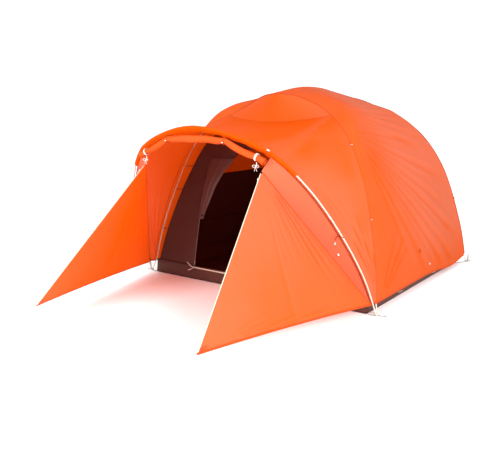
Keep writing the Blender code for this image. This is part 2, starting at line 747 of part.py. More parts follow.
STRAP_SIZE = (0.020, 0.0020)
STRAP_INSET = 0.012             # from the floor's corner to the strap's start
STRAP_REACH = 0.075             # from the pole's foot to the strap's outer end
BUCKLE_PLACE = 0.034            # from the pole's foot out to the buckle
BUCKLE_SIZE = (0.012, 0.028, 0.026)
TONGUE_SIZE = (0.009, 0.020, 0.022)
BUCKLE_HEIGHT = 0.0165
TONGUE_HEIGHT = 0.0412


def corners():
    """Webbing, stake loop and side-release buckle at each pole foot."""
    for side_x, side_y, name in ((-1, -1, "front_left"), (1, -1, "front_right"),
                                 (-1, 1, "rear_left"), (1, 1, "rear_right")):
        foot_x, foot_y = FRONT_FOOT if side_y < 0 else REAR_FOOT
        foot = np.array([side_x * foot_x, foot_y])
        corner = np.array([side_x * FLOOR_WIDTH / 2, side_y * FLOOR_LENGTH / 2])
        along = foot - corner
        along /= np.linalg.norm(along)
        turn = math.atan2(along[1], along[0])
        start = corner + along * STRAP_INSET
        stop = foot + along * STRAP_REACH
        middle = (start + stop) / 2
        reach = float(np.linalg.norm(stop - start))
        block(f"corner_strap_{name}", (reach, *STRAP_SIZE), (*middle, 0.0012), "webbing",
              turn=turn)
        out = foot + along * BUCKLE_PLACE
        block(f"buckle_{name}", BUCKLE_SIZE, (*out, BUCKLE_HEIGHT), "plastic", turn=turn,
              bevel=0.002)
        lift = pivot(f"buckle_tongue_{name}_pivot", (*out, 0.045))
        block(f"buckle_tongue_{name}", TONGUE_SIZE, (*out, TONGUE_HEIGHT), "plastic", lift,
              turn=turn, bevel=0.0015)


def build_tent():
    """Every piece of the tent, in one collection."""
    global PARTS
    for item in list(bpy.data.objects):
        bpy.data.objects.remove(item, do_unlink=True)
    PARTS = bpy.data.collections.new("tent_on_poles")
    bpy.context.scene.collection.children.link(PARTS)
    main_pole("main_pole_lower", 1, HUB_HEIGHT - CROSSING_GAP, 4)
    main_pole("main_pole_upper", -1, HUB_HEIGHT + CROSSING_GAP, 4)
    brow_pole()
    hoop_pole()
    pole_hub()
    tub_floor()
    inner_walls()
    mesh_canopy()
    door_header()
    door_flap()
    door_zips()
    fly_sides()
    fly_rear()
    fly_front()
    porch_roof()
    porch_sides()
    wings()
    pole_sleeve()
    rolled_door()
    roll_ties()
    corners()


build_tent()
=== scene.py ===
"""The looks of a pitched four-person dome tent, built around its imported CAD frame.

Frame: origin on the ground under the tent floor's middle, +Z up, porch towards -Y. Metres.
"""

import math

import bmesh
import bpy
import numpy as np
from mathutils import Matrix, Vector


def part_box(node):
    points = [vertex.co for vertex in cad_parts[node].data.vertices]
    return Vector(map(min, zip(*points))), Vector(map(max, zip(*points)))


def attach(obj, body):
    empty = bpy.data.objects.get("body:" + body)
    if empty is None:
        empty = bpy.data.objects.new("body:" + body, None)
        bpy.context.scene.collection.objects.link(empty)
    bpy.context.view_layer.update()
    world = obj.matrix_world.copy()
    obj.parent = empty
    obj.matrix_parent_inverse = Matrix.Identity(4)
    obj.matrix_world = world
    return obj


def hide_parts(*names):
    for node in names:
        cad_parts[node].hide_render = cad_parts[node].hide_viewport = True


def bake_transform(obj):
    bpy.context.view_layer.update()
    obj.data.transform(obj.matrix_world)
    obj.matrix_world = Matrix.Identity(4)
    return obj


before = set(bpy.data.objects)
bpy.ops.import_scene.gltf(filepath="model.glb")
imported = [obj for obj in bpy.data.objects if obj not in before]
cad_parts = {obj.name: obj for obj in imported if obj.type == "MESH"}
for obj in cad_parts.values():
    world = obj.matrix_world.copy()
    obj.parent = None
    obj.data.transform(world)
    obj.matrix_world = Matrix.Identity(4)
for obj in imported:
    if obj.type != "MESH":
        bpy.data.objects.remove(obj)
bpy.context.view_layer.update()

# Shape of the tent, as in its CAD
FLOOR_WIDTH = 2.40
FLOOR_LENGTH = 2.19
TUB_HEIGHT = 0.13
HEM_HEIGHT = 0.10
POLE_RADIUS = 0.0055
HOOP_LEAN = math.radians(26.9)
BROWN_TOP = 0.98
DOOR_JAMB_X = 0.70
FRONT_FOOT = (1.285, -1.075)
REAR_FOOT = (1.285, 1.255)
FRONT_LEG = [(1.285, -1.075, 0.0), (1.205, -1.005, 0.50), (1.043, -0.873, 1.07),
             (0.951, -0.795, 1.321), (0.845, -0.707, 1.519), (0.758, -0.634, 1.64),
             (0.632, -0.529, 1.721), (0.443, -0.371, 1.785), (0.0, 0.0, 1.83)]
REAR_LEG = [(1.285, 1.255, 0.0), (1.215, 1.185, 0.45), (1.035, 1.01, 1.10),
            (0.815, 0.795, 1.495), (0.51, 0.50, 1.715), (0.0, 0.0, 1.83)]
FRONT_RIDGE = [(1.285, -1.075, 0.0), (1.205, -1.005, 0.50), (1.035, -0.895, 1.08),
               (0.80, -0.79, 1.465), (0.52, -0.61, 1.65), (0.406, -0.58, 1.712),
               (0.263, -0.60, 1.775), (0.148, -0.63, 1.808), (0.0, -0.66, 1.826)]
REAR_RIDGE = [(1.285, 1.255, 0.0), (1.215, 1.185, 0.45), (1.035, 1.01, 1.10),
              (0.80, 0.86, 1.465), (0.52, 0.72, 1.65), (0.30, 0.68, 1.755),
              (0.15, 0.675, 1.80), (0.0, 0.68, 1.822)]
FRONT_CREST = [(1.285, -0.99, 0.0), (1.207, -0.93, 0.50), (1.06, -0.845, 1.07),
               (0.965, -0.79, 1.321), (0.857, -0.705, 1.521), (0.768, -0.635, 1.642),
               (0.64, -0.53, 1.724), (0.45, -0.375, 1.79), (0.22, -0.19, 1.855),
               (0.0, -0.10, 1.903)]
REAR_CREST = [(1.287, 1.17, 0.0), (1.22, 1.10, 0.45), (1.045, 0.965, 1.10),
              (0.935, 0.90, 1.315), (0.815, 0.795, 1.495), (0.67, 0.65, 1.63),
              (0.51, 0.50, 1.715), (0.37, 0.36, 1.765), (0.20, 0.19, 1.835),
              (0.0, 0.10, 1.903)]
PANEL_KNEE = 1.645
SPINE = [(0.0, -0.66, 1.826), (0.0, -0.45, 1.868), (0.0, -0.22, 1.897), (0.0, 0.0, 1.905),
         (0.0, 0.22, 1.897), (0.0, 0.45, 1.868), (0.0, 0.68, 1.822)]
HOOP_HALF = [(1.285, 0.0), (1.235, 0.42), (1.115, 0.83), (0.935, 1.21), (0.70, 1.485),
             (0.37, 1.645), (0.0, 1.715)]
INNER_FRONT = [(1.20, -1.095, 0.0), (1.11, -1.01, 0.45), (0.92, -0.875, 1.02),
               (0.72, -0.74, 1.40), (0.46, -0.55, 1.57), (0.0, 0.0, 1.72)]
INNER_REAR = [(1.20, 1.095, 0.0), (1.16, 1.10, 0.45), (0.975, 0.955, 1.07),
              (0.74, 0.73, 1.43), (0.46, 0.46, 1.62), (0.0, 0.0, 1.72)]
WING_TOP = (0.617, -1.785, 1.205)
WING_HEEL = (1.262, -1.135, 0.10)
WING_TIP = (0.844, -2.816, 0.126)
GUY_END = (0.852, -2.985, 0.0025)
GUY_RADIUS = 0.0012
ROLL_LINE = [(-0.655, -1.795, 1.285), (-0.49, -1.812, 1.345), (-0.30, -1.832, 1.425),
             (0.0, -1.845, 1.445), (0.30, -1.832, 1.425), (0.49, -1.812, 1.345),
             (0.655, -1.795, 1.285)]
ROLL_RADIUS = 0.027
ROLL_CORE = 0.005
ROLL_TIES = (-0.585, -0.30, 0.30, 0.585)
SEAM_END_X = 0.575
ROOF_HALF = 0.70

# How far cloth sags or bulges between its edges, and how far seams and hems stand off it
FLY_SAG = 0.030
INNER_BULGE = 0.020
SEAM_LIFT = 0.0016
HEM_LIFT = 0.007

# Fineness of the cloth grids
LEG_ROWS = 96
CROWN_ROWS = 44
ROOF_ROWS = 44
SPAN_COLUMNS = 160
FACET_COLUMNS = 24
FRONT_COLUMNS = 72
WING_CELLS = 110

SIDES = ((1, "right"), (-1, "left"))
UP = np.array((0.0, 0.0, 1.0))

CAMERA_PLACE = (3.297, -5.616, 1.637)
CAMERA_TURN = 0.629
CAMERA_PITCH = 0.179
CAMERA_LENS = 44.46


# --- lines and grids -----------------------------------------------------------------------

def vec(*numbers):
    return np.array(numbers, dtype=float)


def unit(direction):
    direction = np.array(direction, dtype=float)
    return direction / max(np.linalg.norm(direction), 1e-9)


def sided(points, side):
    """Points for the right-hand side (+1) or the left-hand side (-1)."""
    return [(side * x, y, z) for x, y, z in points]


def resample(points, count):
    """The same line cut into evenly spaced points."""
    line = np.array(points, dtype=float)
    length = np.concatenate(([0.0], np.cumsum(np.linalg.norm(np.diff(line, axis=0), axis=1))))
    even = np.linspace(0.0, length[-1], count)
    return np.stack([np.interp(even, length, line[:, k]) for k in range(3)], axis=1)


def smooth_path(points, count):
    """Evenly spaced points on a smooth curve through the given ones."""
    knots = np.array(points, dtype=float)
    steps = np.sqrt(np.linalg.norm(np.diff(knots, axis=0), axis=1))
    times = np.concatenate(([0.0], np.cumsum(steps)))
    slopes = np.gradient(knots, times, axis=0)
    curve = [knots[0]]
    for index in range(len(knots) - 1):
        span = times[index + 1] - times[index]
        for t in np.linspace(0.0, 1.0, 25)[1:]:
            start = (1 + 2 * t) * (1 - t) ** 2 * knots[index]
            end = t * t * (3 - 2 * t) * knots[index + 1]
            leave = t * (1 - t) ** 2 * span * slopes[index]
            arrive = t * t * (t - 1) * span * slopes[index + 1]
            curve.append(start + end + leave + arrive)
    return resample(curve, count)


def above(line, height):
    """The part of a rising line that is above a height, cut exactly at it."""
    first = int(np.argmax(line[:, 2] > height))
    low, high = line[first - 1], line[first]
    cut = low + (high - low) * (height - low[2]) / (high[2] - low[2])
    return np.vstack([cut, line[first:]])


def at_height(line, height):
    return above(line, height)[0]


def nearest(line, place):
    return int(np.argmin(np.linalg.norm(line - np.array(place, dtype=float), axis=1)))


def level_with(line, height):
    """The point of a line that is nearest to a height."""
    return line[np.argmin(np.abs(line[:, 2] - height))]


def tangents(line):
    line = np.array(line, dtype=float)
    slope = np.gradient(line, axis=0)
    return slope / np.maximum(np.linalg.norm(slope, axis=1), 1e-9)[:, None]


def square_to(along):
    """The level direction and the rising direction that are square to a line."""
    side = unit(np.cross(along, UP))
    return side, np.cross(side, along)


def between(first, last, columns):
    """A grid of straight rows between two lines of the same length."""
    share = np.linspace(0.0, 1.0, columns)[None, :, None]
    return first[:, None, :] * (1 - share) + last[:, None, :] * share


def facing(grid, axis, way=1):
    """Unit normals at the points of a grid, all turned the same way along an axis."""
    normal = np.cross(np.gradient(grid, axis=1), np.gradient(grid, axis=0))
    normal /= np.maximum(np.linalg.norm(normal, axis=2), 1e-9)[:, :, None]
    return normal * np.sign(normal[:, :, axis:axis + 1] * way + 1e-9)


def step(value, low, high):
    """0 below low, 1 above high, and a smooth rise in between."""
    t = np.clip((value - low) / (high - low), 0.0, 1.0)
    return t * t * (3 - 2 * t)


def fan(flat_x, flat_y, creases):
    """Height of creases that spread from a point, in metres.

    flat_x and flat_y are measured from that point; a crease is its angle in degrees, its
    half width in degrees, its height, and the distances where it starts and has died out.
    """
    angle = np.degrees(np.arctan2(flat_y, flat_x))
    distance = np.hypot(flat_x, flat_y)
    height = np.zeros_like(flat_x)
    for centre, half_width, tall, start, stop in creases:
        away = (angle - centre) / half_width
        ridge = np.exp(-np.abs(away) ** 1.3) - 0.55 * np.exp(-np.abs(away - 1.9) ** 1.3)
        fade = step(distance, start, start + 0.18) * (1 - step(distance, stop - 0.45, stop))
        height += tall * ridge * fade
    return height


def crease_trough_shade(height):
    """Painted shade: how much deeper the colour is made in the troughs beside the creases."""
    return 0.38 * np.clip(height / 0.006, -1.0, 0.1)


def shares(grid):
    """How far across and how far down a grid each of its columns and rows is, from 0 to 1."""
    rows, columns = grid.shape[:2]
    return np.linspace(0.0, 1.0, columns)[None, :], np.linspace(0.0, 1.0, rows)[:, None]


def hump(share):
    """0 at both ends and 1 in the middle."""
    return 4 * share * (1 - share)


def rim_fade(grid, width=0.10):
    """1 inside a grid and 0 on its four sides, so that neighbours still meet."""
    u, v = shares(grid)
    return step(np.minimum(u, 1 - u), 0.0, width) * step(np.minimum(v, 1 - v), 0.0, width)


def ripples(grid, size, height, seed):
    """Soft random unevenness of hand-pitched cloth, as a height at each point of a grid."""
    dice = np.random.default_rng(seed)
    total = np.zeros(grid.shape[:2])
    for _ in range(7):
        wave = unit(dice.normal(size=3)) * (2 * math.pi / size) * dice.uniform(0.6, 1.5)
        total += np.sin(grid @ wave + dice.uniform(0.0, 2 * math.pi))
    return total * height / 7


def fit(piece, body, slot, *nodes):
    """Puts a piece on a body, in place of the CAD nodes it stands for; slot is not used."""
    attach(piece, body)
    if nodes:
        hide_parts(*nodes)


def box_middle(node):
    low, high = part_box(node)
    return (np.array(low) + np.array(high)) / 2


# --- meshes --------------------------------------------------------------------------------

def finish_mesh(name, build, material):
    mesh = bpy.data.meshes.new(name)
    build.to_mesh(mesh)
    build.free()
    mesh.materials.append(material)
    mesh.shade_smooth()
    piece = bpy.data.objects.new(name, mesh)
    bpy.context.scene.collection.objects.link(piece)
    return piece


def weave_of(grid):
    """Distances across and down a grid in metres, which the weave of the cloth follows."""
    across = np.linalg.norm(np.diff(grid, axis=1), axis=2)
    down = np.linalg.norm(np.diff(grid, axis=0), axis=2)
    u = np.concatenate([np.zeros((grid.shape[0], 1)), np.cumsum(across, axis=1)], axis=1)
    v = np.concatenate([np.zeros((1, grid.shape[1])), np.cumsum(down, axis=0)], axis=0)
    return u - u[:, -1:] / 2, v


def cloth_sheet(name, patches, material, weld=0.0004):
    """One cloth mesh from patches that share their edges; a patch is a grid and its tint."""
    build = bmesh.new()
    weave = build.verts.layers.float_vector.new("weave")
    tint = build.verts.layers.float.new("tint")
    for grid, shade in patches:
        shades = np.broadcast_to(shade, grid.shape[:2])
        u, v = weave_of(grid)
        verts = []
        for row in range(grid.shape[0]):
            line = []
            for column in range(grid.shape[1]):
                vert = build.verts.new(tuple(grid[row, column]))
                vert[weave] = (u[row, column], v[row, column], 0.0)
                vert[tint] = float(shades[row, column])
                line.append(vert)
            verts.append(line)
        for low, high in zip(verts, verts[1:]):
            for index in range(len(low) - 1):
                build.faces.new((low[index], low[index + 1], high[index + 1], high[index]))
    bmesh.ops.remove_doubles(build, verts=build.verts, dist=weld)
    bmesh.ops.recalc_face_normals(build, faces=build.faces)
    return finish_mesh(name, build, material)


def swept(name, line, section, material, side=None, closed=False, scale=None):
    """A solid made by moving a closed outline of (across, up) points along a line.

    side is the direction of up, for the whole line or at each point; across is square to it.
    """
    line = np.array(line, dtype=float)
    along = tangents(line)
    up = np.broadcast_to(UP if side is None else side, line.shape)
    build = bmesh.new()
    weave = build.verts.layers.float_vector.new("weave")
    tint = build.verts.layers.float.new("tint")
    travelled = np.concatenate(([0.0], np.cumsum(np.linalg.norm(np.diff(line, axis=0), axis=1))))
    rings = []
    for index, point in enumerate(line):
        across = unit(np.cross(along[index], up[index]))
        rise = np.cross(across, along[index])
        size = 1.0 if scale is None else scale[index]
        ring = []
        for a, b in section:
            vert = build.verts.new(tuple(point + (across * a + rise * b) * size))
            vert[weave] = (a, travelled[index], 0.0)
            vert[tint] = 0.5
            ring.append(vert)
        rings.append(ring)
    if closed:
        rings.append(rings[0])
    for low, high in zip(rings, rings[1:]):
        for index in range(len(low)):
            after = (index + 1) % len(low)
            build.faces.new((low[index], low[after], high[after], high[index]))
    if not closed:
        build.faces.new(rings[0][::-1])
        build.faces.new(rings[-1])
    bmesh.ops.recalc_face_normals(build, faces=build.faces)
    return finish_mesh(name, build, material)


def circle(count, rounds=1.0):
    """Evenly spaced angles from the start of the first round to the end of the last."""
    return np.linspace(0.0, 2 * math.pi * rounds, count)


def round_section(radius, sides):
    return [(radius * math.cos(turn), radius * math.sin(turn)) for turn in circle(sides + 1)[:-1]]


def band_section(width, thickness):
    """The outline of a flat strip with softly rounded edges."""
    half, thin = width / 2, thickness / 2
    return [(-half, -thin * 0.5), (-half, thin * 0.5), (-half + thin, thin), (half - thin, thin),
            (half, thin * 0.5), (half, -thin * 0.5), (half - thin, -thin), (-half + thin, -thin)]


def cord_piece(name, points, radius, material, count=40, closed=False):
    line = smooth_path(points, count)
    if closed:
        line = line[:-1]
    helper = unit(np.cross(line[len(line) // 3] - line[0], line[-1 - len(line) // 5] - line[0])
                  + vec(1e-4, 2e-4, 3e-4))
    return swept(name, line, round_section(radius, 8), material, side=helper, closed=closed)


def joined(name, pieces):
    """Several small meshes of one kind as one piece."""
    build = bmesh.new()
    for piece in pieces:
        build.from_mesh(piece.data)
    material = pieces[0].data.materials[0]
    for piece in pieces:
        bpy.data.objects.remove(piece, do_unlink=True)
    return finish_mesh(name, build, material)


def softened_block(name, size, place, along, out, material, bevel, taper=1.0):
    """A moulded block with its length on one direction and its face to another, bevelled."""
    build = bmesh.new()
    bmesh.ops.create_cube(build, size=1.0)
    for vert in build.verts:
        narrow = taper if vert.co.z > 0 else 1.0
        vert.co = (vert.co.x * size[0] * narrow, vert.co.y * size[1], vert.co.z * size[2])
    bmesh.ops.bevel(build, geom=build.edges[:] + build.verts[:], offset=bevel, segments=3,
                    affect="EDGES", profile=0.6)
    along, out = unit(along), unit(out)
    across = unit(np.cross(out, along))
    out = np.cross(along, across)
    for vert in build.verts:
        local = np.array(vert.co)
        vert.co = tuple(np.array(place) + across * local[0] + out * local[1] + along * local[2])
    bmesh.ops.recalc_face_normals(build, faces=build.faces)
    return finish_mesh(name, build, material)


# --- materials -----------------------------------------------------------------------------

def add(tree, kind, inputs=None, **settings):
    """Adds a shader node; an input is a value or the socket that feeds it."""
    made = tree.nodes.new(kind)
    for key, value in settings.items():
        setattr(made, key, value)
    for key, value in (inputs or {}).items():
        if isinstance(value, bpy.types.NodeSocket):
            tree.links.new(value, made.inputs[key])
        else:
            made.inputs[key].default_value = value
    return made


def blank(name):
    material = bpy.data.materials.new(name)
    material.use_nodes = True
    material.node_tree.nodes.clear()
    return material, material.node_tree


def surfaced(material, shader):
    """The material with a shader on its surface."""
    tree = material.node_tree
    output = tree.nodes.new("ShaderNodeOutputMaterial")
    tree.links.new(shader.outputs[0], output.inputs["Surface"])
    return material


def noise(tree, scale, detail, **more):
    """Random clouds through the object's own space."""
    solid = add(tree, "ShaderNodeTexCoord").outputs["Object"]
    return add(tree, "ShaderNodeTexNoise", {"Vector": solid, "Scale": scale, "Detail": detail,
                                            **more}).outputs["Fac"]


def relief_of(tree, height, strength, distance):
    return add(tree, "ShaderNodeBump", {"Strength": strength, "Distance": distance,
                                        "Height": height}).outputs["Normal"]


def principled(tree, colour, rough, more):
    return add(tree, "ShaderNodeBsdfPrincipled",
               {"Base Color": colour, "Roughness": rough, **more})


def maths(tree, operation, first, second):
    return add(tree, "ShaderNodeMath", {0: first, 1: second}, operation=operation).outputs[0]


def mixed(tree, share, first, second):
    node = add(tree, "ShaderNodeMix", {0: share, 6: first, 7: second}, data_type="RGBA")
    return node.outputs[2]


def cloth_material(name, light, deep, glow, through, rough=0.6, shine=0.06, pitch=0.0065,
                   crumple=0.3, clear=0.0):
    """Woven cloth with a ripstop grid, uneven dye, painted sheen and shade set by the tint
    attribute, small crumples and light through it.
    """
    material, tree = blank(name)
    place = add(tree, "ShaderNodeAttribute", attribute_name="weave").outputs["Vector"]
    # The tint attribute mixes from light to deep; on the fly it carries painted sheen and painted
    # shade by where each panel faces, and in the crease troughs.
    tint = add(tree, "ShaderNodeAttribute", attribute_name="tint").outputs["Fac"]
    cloud = noise(tree, 2.1, 4.0, Roughness=0.55)
    uneven = maths(tree, "MULTIPLY", maths(tree, "SUBTRACT", cloud, 0.5), 0.45)
    share = maths(tree, "ADD", tint, uneven)
    dye_and_painted_light = mixed(tree, share, (*light, 1.0), (*deep, 1.0))
    grid = add(tree, "ShaderNodeTexBrick", {"Vector": place, "Scale": 1.0, "Mortar Size": 0.0006,
                                            "Mortar Smooth": 0.6, "Brick Width": pitch,
                                            "Row Height": pitch}, offset=0.0, squash=1.0)
    threads = grid.outputs["Fac"]
    darker = maths(tree, "MULTIPLY", threads, 0.16)
    colour = mixed(tree, darker, dye_and_painted_light, (deep[0] * 0.5, deep[1] * 0.5, deep[2] * 0.5, 1.0))
    wrinkle = noise(tree, 9.0, 5.0, Roughness=0.5, Distortion=0.6)
    height = maths(tree, "ADD", wrinkle, maths(tree, "MULTIPLY", threads, 0.03))
    bump = relief_of(tree, height, crumple, 0.012)
    shader = principled(tree, colour, rough, {"Specular IOR Level": shine, "Normal": bump})
    passing = add(tree, "ShaderNodeBsdfTranslucent", {"Color": (*glow, 1.0), "Normal": bump})
    surface = add(tree, "ShaderNodeMixShader",
                  {0: through, 1: shader.outputs[0], 2: passing.outputs[0]})
    if clear:
        hole = add(tree, "ShaderNodeBsdfTransparent")
        surface = add(tree, "ShaderNodeMixShader",
                      {0: clear, 1: surface.outputs[0], 2: hole.outputs[0]})
    return surfaced(material, surface)


def webbing_material(name, light, dark, rough=0.75):
    """Flat woven tape or cord: slanting ribs and slightly grubby edges."""
    material, tree = blank(name)
    solid = add(tree, "ShaderNodeTexCoord").outputs["Object"]
    ribs = add(tree, "ShaderNodeTexWave", {"Vector": solid, "Scale": 160.0, "Distortion": 1.5,
                                           "Detail": 2.0}, bands_direction="DIAGONAL")
    share = maths(tree, "MULTIPLY", ribs.outputs["Fac"], noise(tree, 35.0, 4.0))
    colour = mixed(tree, share, (*light, 1.0), (*dark, 1.0))
    bump = relief_of(tree, ribs.outputs["Fac"], 0.5, 0.0006)
    shader = principled(tree, colour, rough, {"Sheen Weight": 0.3, "Normal": bump})
    return surfaced(material, shader)


def hard_material(name, light, dark, rough, metal=0.0, coat=0.0):
    """Moulded plastic or painted metal with handling marks and uneven gloss."""
    material, tree = blank(name)
    marks = noise(tree, 60.0, 6.0, Roughness=0.65)
    worn = add(tree, "ShaderNodeMapRange", {"Value": marks, "From Min": 0.45, "From Max": 0.75})
    colour = mixed(tree, worn.outputs[0], (*light, 1.0), (*dark, 1.0))
    gloss = add(tree, "ShaderNodeMapRange", {"Value": marks, "To Min": rough,
                                             "To Max": rough + 0.2})
    bump = relief_of(tree, marks, 0.15, 0.0005)
    shader = principled(tree, colour, gloss.outputs[0],
                        {"Metallic": metal, "Coat Weight": coat, "Normal": bump})
    return surfaced(material, shader)


# The fly's deep colour is a paler coral that the tint mixes in as painted sheen.
FLY = cloth_material("fly_cloth", (0.66, 0.080, 0.0003), (0.63, 0.140, 0.068),
                     (1.0, 0.085, 0.0), 0.30, shine=0.02)
SEAM = cloth_material("fly_seam", (0.56, 0.062, 0.001), (0.50, 0.080, 0.026),
                      (0.9, 0.08, 0.0), 0.20, crumple=0.15, shine=0.02)
# Dark red-orange: the own colour of the small straps and cords on the hoop, and painted shadow
# where it marks the hoop pole's shadow on the porch cloth.
DARK_CORD_AND_POLE_SHADOW = cloth_material("fly_shaded_tape", (0.24, 0.014, 0.003), (0.20, 0.012, 0.003),
                       (0.3, 0.02, 0.0), 0.05, crumple=0.15, shine=0.02)
INNER = cloth_material("inner_cloth", (0.072, 0.026, 0.020), (0.052, 0.018, 0.014),
                       (0.12, 0.03, 0.01), 0.06, rough=0.6, shine=0.25)
MESH = cloth_material("inner_mesh", (0.20, 0.05, 0.02), (0.14, 0.03, 0.012),
                      (0.5, 0.06, 0.0), 0.3, rough=0.8, pitch=0.004, crumple=0.15, clear=0.45)
FLOOR = cloth_material("floor_cloth", (0.085, 0.028, 0.020), (0.060, 0.018, 0.012),
                       (0.1, 0.02, 0.01), 0.03, rough=0.5, shine=0.2)
INNER_EDGE = cloth_material("inner_binding", (0.060, 0.022, 0.018), (0.040, 0.014, 0.012),
                            (0.05, 0.02, 0.01), 0.02, rough=0.65, crumple=0.1)
INNER_PALE = cloth_material("inner_door_cloth", (0.082, 0.033, 0.026), (0.060, 0.022, 0.018),
                            (0.14, 0.035, 0.015), 0.05, rough=0.55, shine=0.35)
WEBBING = webbing_material("cream_webbing", (0.66, 0.57, 0.48), (0.42, 0.35, 0.29))
GREY_WEB = webbing_material("grey_webbing", (0.36, 0.34, 0.32), (0.18, 0.16, 0.15))
CORD = webbing_material("guy_cord", (0.56, 0.52, 0.47), (0.36, 0.32, 0.28))
PIPING = webbing_material("zip_tape", (0.62, 0.50, 0.38), (0.48, 0.35, 0.25), rough=0.6)
POLE = hard_material("pole_paint", (0.58, 0.50, 0.42), (0.46, 0.39, 0.32), 0.34, coat=0.15)
FERRULE = hard_material("ferrule_metal", (0.72, 0.70, 0.67), (0.50, 0.48, 0.46), 0.25, metal=0.9)
PLASTIC = hard_material("grey_plastic", (0.46, 0.45, 0.44), (0.30, 0.29, 0.28), 0.38)
PALE = hard_material("pale_plastic", (0.58, 0.54, 0.50), (0.44, 0.40, 0.36), 0.35)
DARK = hard_material("dark_plastic", (0.07, 0.055, 0.05), (0.03, 0.025, 0.025), 0.42)


# --- camera --------------------------------------------------------------------------------

def make_camera():
    data = bpy.data.cameras.new("camera")
    data.lens = CAMERA_LENS
    data.sensor_width = 36.0
    data.clip_start = 0.05
    camera = bpy.data.objects.new("camera", data)
    camera.location = CAMERA_PLACE
    camera.rotation_euler = (math.pi / 2 - CAMERA_PITCH, 0.0, CAMERA_TURN)
    bpy.context.scene.collection.objects.link(camera)
    bpy.context.scene.camera = camera


# --- guy cords -----------------------------------------------------------------------------

def wing_corners(side):
    return [np.array(sided([corner], side)[0]) for corner in (WING_TOP, WING_HEEL, WING_TIP)]


def guy_cords():
    """The short cord at each wing's tip, ending in a knotted loop on the ground."""
    for side, label in SIDES:
        tip = wing_corners(side)[2]
        end = np.array(sided([GUY_END], side)[0])
        start = tip + unit(end - tip) * 0.006
        sagging = (start + end) / 2 + vec(0, 0, -0.004)
        route = smooth_path([start, sagging, end], 24)
        data = bpy.data.curves.new(f"guy_line_{label}", "CURVE")
        data.dimensions = "3D"
        data.bevel_depth = GUY_RADIUS
        data.bevel_resolution = 3
        data.use_fill_caps = True
        spline = data.splines.new("POLY")
        spline.points.add(len(route) - 1)
        for spot, place in zip(spline.points, route):
            spot.co = (*place, 1.0)
        data.materials.append(CORD)
        line = bpy.data.objects.new(f"guy_line_{label}", data)
        bpy.context.scene.collection.objects.link(line)
        back = unit(start - end)
        knot = [end + back * (0.010 - 0.0012 * turn / math.pi)
                + vec(0.0030 * math.cos(turn), 0.0012 * math.sin(turn),
                      0.0026 * math.sin(turn) + 0.0022) for turn in circle(40, 2.5)]
        tied = cord_piece(f"guy_knot_{label}", knot, GUY_RADIUS * 0.9, CORD, count=90)
        fit(line, f"wing_{label}", "cord", f"guy_cord_{label}")
        fit(tied, f"wing_{label}", "cord")


# --- lines of the fly ----------------------------------------------------------------------

def hoop_point(half, up):
    return (half, FRONT_FOOT[1] - up * math.sin(HOOP_LEAN), up * math.cos(HOOP_LEAN))


def hoop_line():
    """The whole hoop, left foot to right foot."""
    half = [hoop_point(x, up) for x, up in HOOP_HALF]
    return smooth_path(sided(half, -1) + half[::-1][1:], 401)


HOOP = hoop_line()


def under_hoop(point, distance=0.022):
    """A point of the hoop moved inwards, to the fabric that runs under the pole."""
    away = unit(np.array(point) - vec(0.0, -1.45, 0.70))
    return np.array(point) - away * distance


def leg_and_crown(line, knee):
    """A line cut evenly into the rows of the leg, and above its knee into those of the crown."""
    return np.vstack([resample(line[:knee + 1], LEG_ROWS + 1),
                      resample(line[knee:], CROWN_ROWS + 1)[1:]])


def hoop_leg(side, lowest=-1.0):
    """The part of the hoop beside the porch roof, from its foot up."""
    line = HOOP[::-1] if side > 0 else HOOP
    return line[(side * line[:, 0] >= ROOF_HALF - 1e-6) & (line[:, 2] >= lowest)]


def ridge_line(side):
    """A front seam from the hem to the crown, with the porch seam's end at its knee."""
    line = above(smooth_path(sided(FRONT_RIDGE, side), 500), HEM_HEIGHT)
    return leg_and_crown(line, nearest(line, (side * SEAM_END_X, -0.658, 1.613)))


def panel_line(points, side):
    """A line up a side panel from the hem to the crown, cut at the knee to keep step."""
    line = above(smooth_path(sided(points, side), 500), HEM_HEIGHT)
    return leg_and_crown(line, int(np.argmax(line[:, 2] > PANEL_KNEE)))


RIDGES = {side: ridge_line(side) for side in (-1, 1)}
REAR_RIDGES = {side: panel_line(REAR_RIDGE, side) for side in (-1, 1)}


def porch_seam():
    """The sagging seam between the dome's front and the porch roof, left to right."""
    def bow(x):
        return vec(x, -0.79 + 0.40 * x * x, 1.560 + 0.16 * x * x)

    line = []
    for u in np.linspace(-1.0, 1.0, FRONT_COLUMNS + 1):
        end = RIDGES[1 if u > 0 else -1][LEG_ROWS]
        line.append(bow(SEAM_END_X * u) + (end - bow(math.copysign(SEAM_END_X, u))) * u ** 4)
    return np.array(line)


PORCH_SEAM = porch_seam()


# --- fly -----------------------------------------------------------------------------------

# Creases for fan(): angle and half width in degrees, height, start and end in metres
SIDE_CREASES = [(3, 1.6, 0.011, 0.10, 1.55), (8, 1.2, 0.008, 0.30, 1.30),
                (14, 1.5, 0.014, 0.16, 1.9), (19, 1.1, 0.009, 0.34, 1.7),
                (24, 1.3, 0.014, 0.24, 2.1), (29, 1.5, 0.019, 0.14, 2.3),
                (33, 1.0, 0.010, 0.40, 2.0), (37, 1.4, 0.016, 0.22, 2.4),
                (42, 1.6, 0.016, 0.16, 2.2), (47, 1.2, 0.009, 0.34, 1.9),
                (52, 1.7, 0.013, 0.20, 1.8), (60, 1.9, 0.009, 0.25, 1.5)]
HEEL_CREASES = [(24, 1.6, 0.010, 0.10, 1.0), (31, 1.3, 0.012, 0.16, 1.1),
                (40, 1.6, 0.010, 0.12, 0.9), (78, 2.2, 0.012, 0.10, 0.8),
                (86, 2.0, 0.010, 0.10, 0.7)]


def hem_drop(y):
    """How much lower a side hem hangs than its corners: most of all near the rear foot."""
    return 0.052 * np.exp(-((y - 0.80) / 0.42) ** 2)


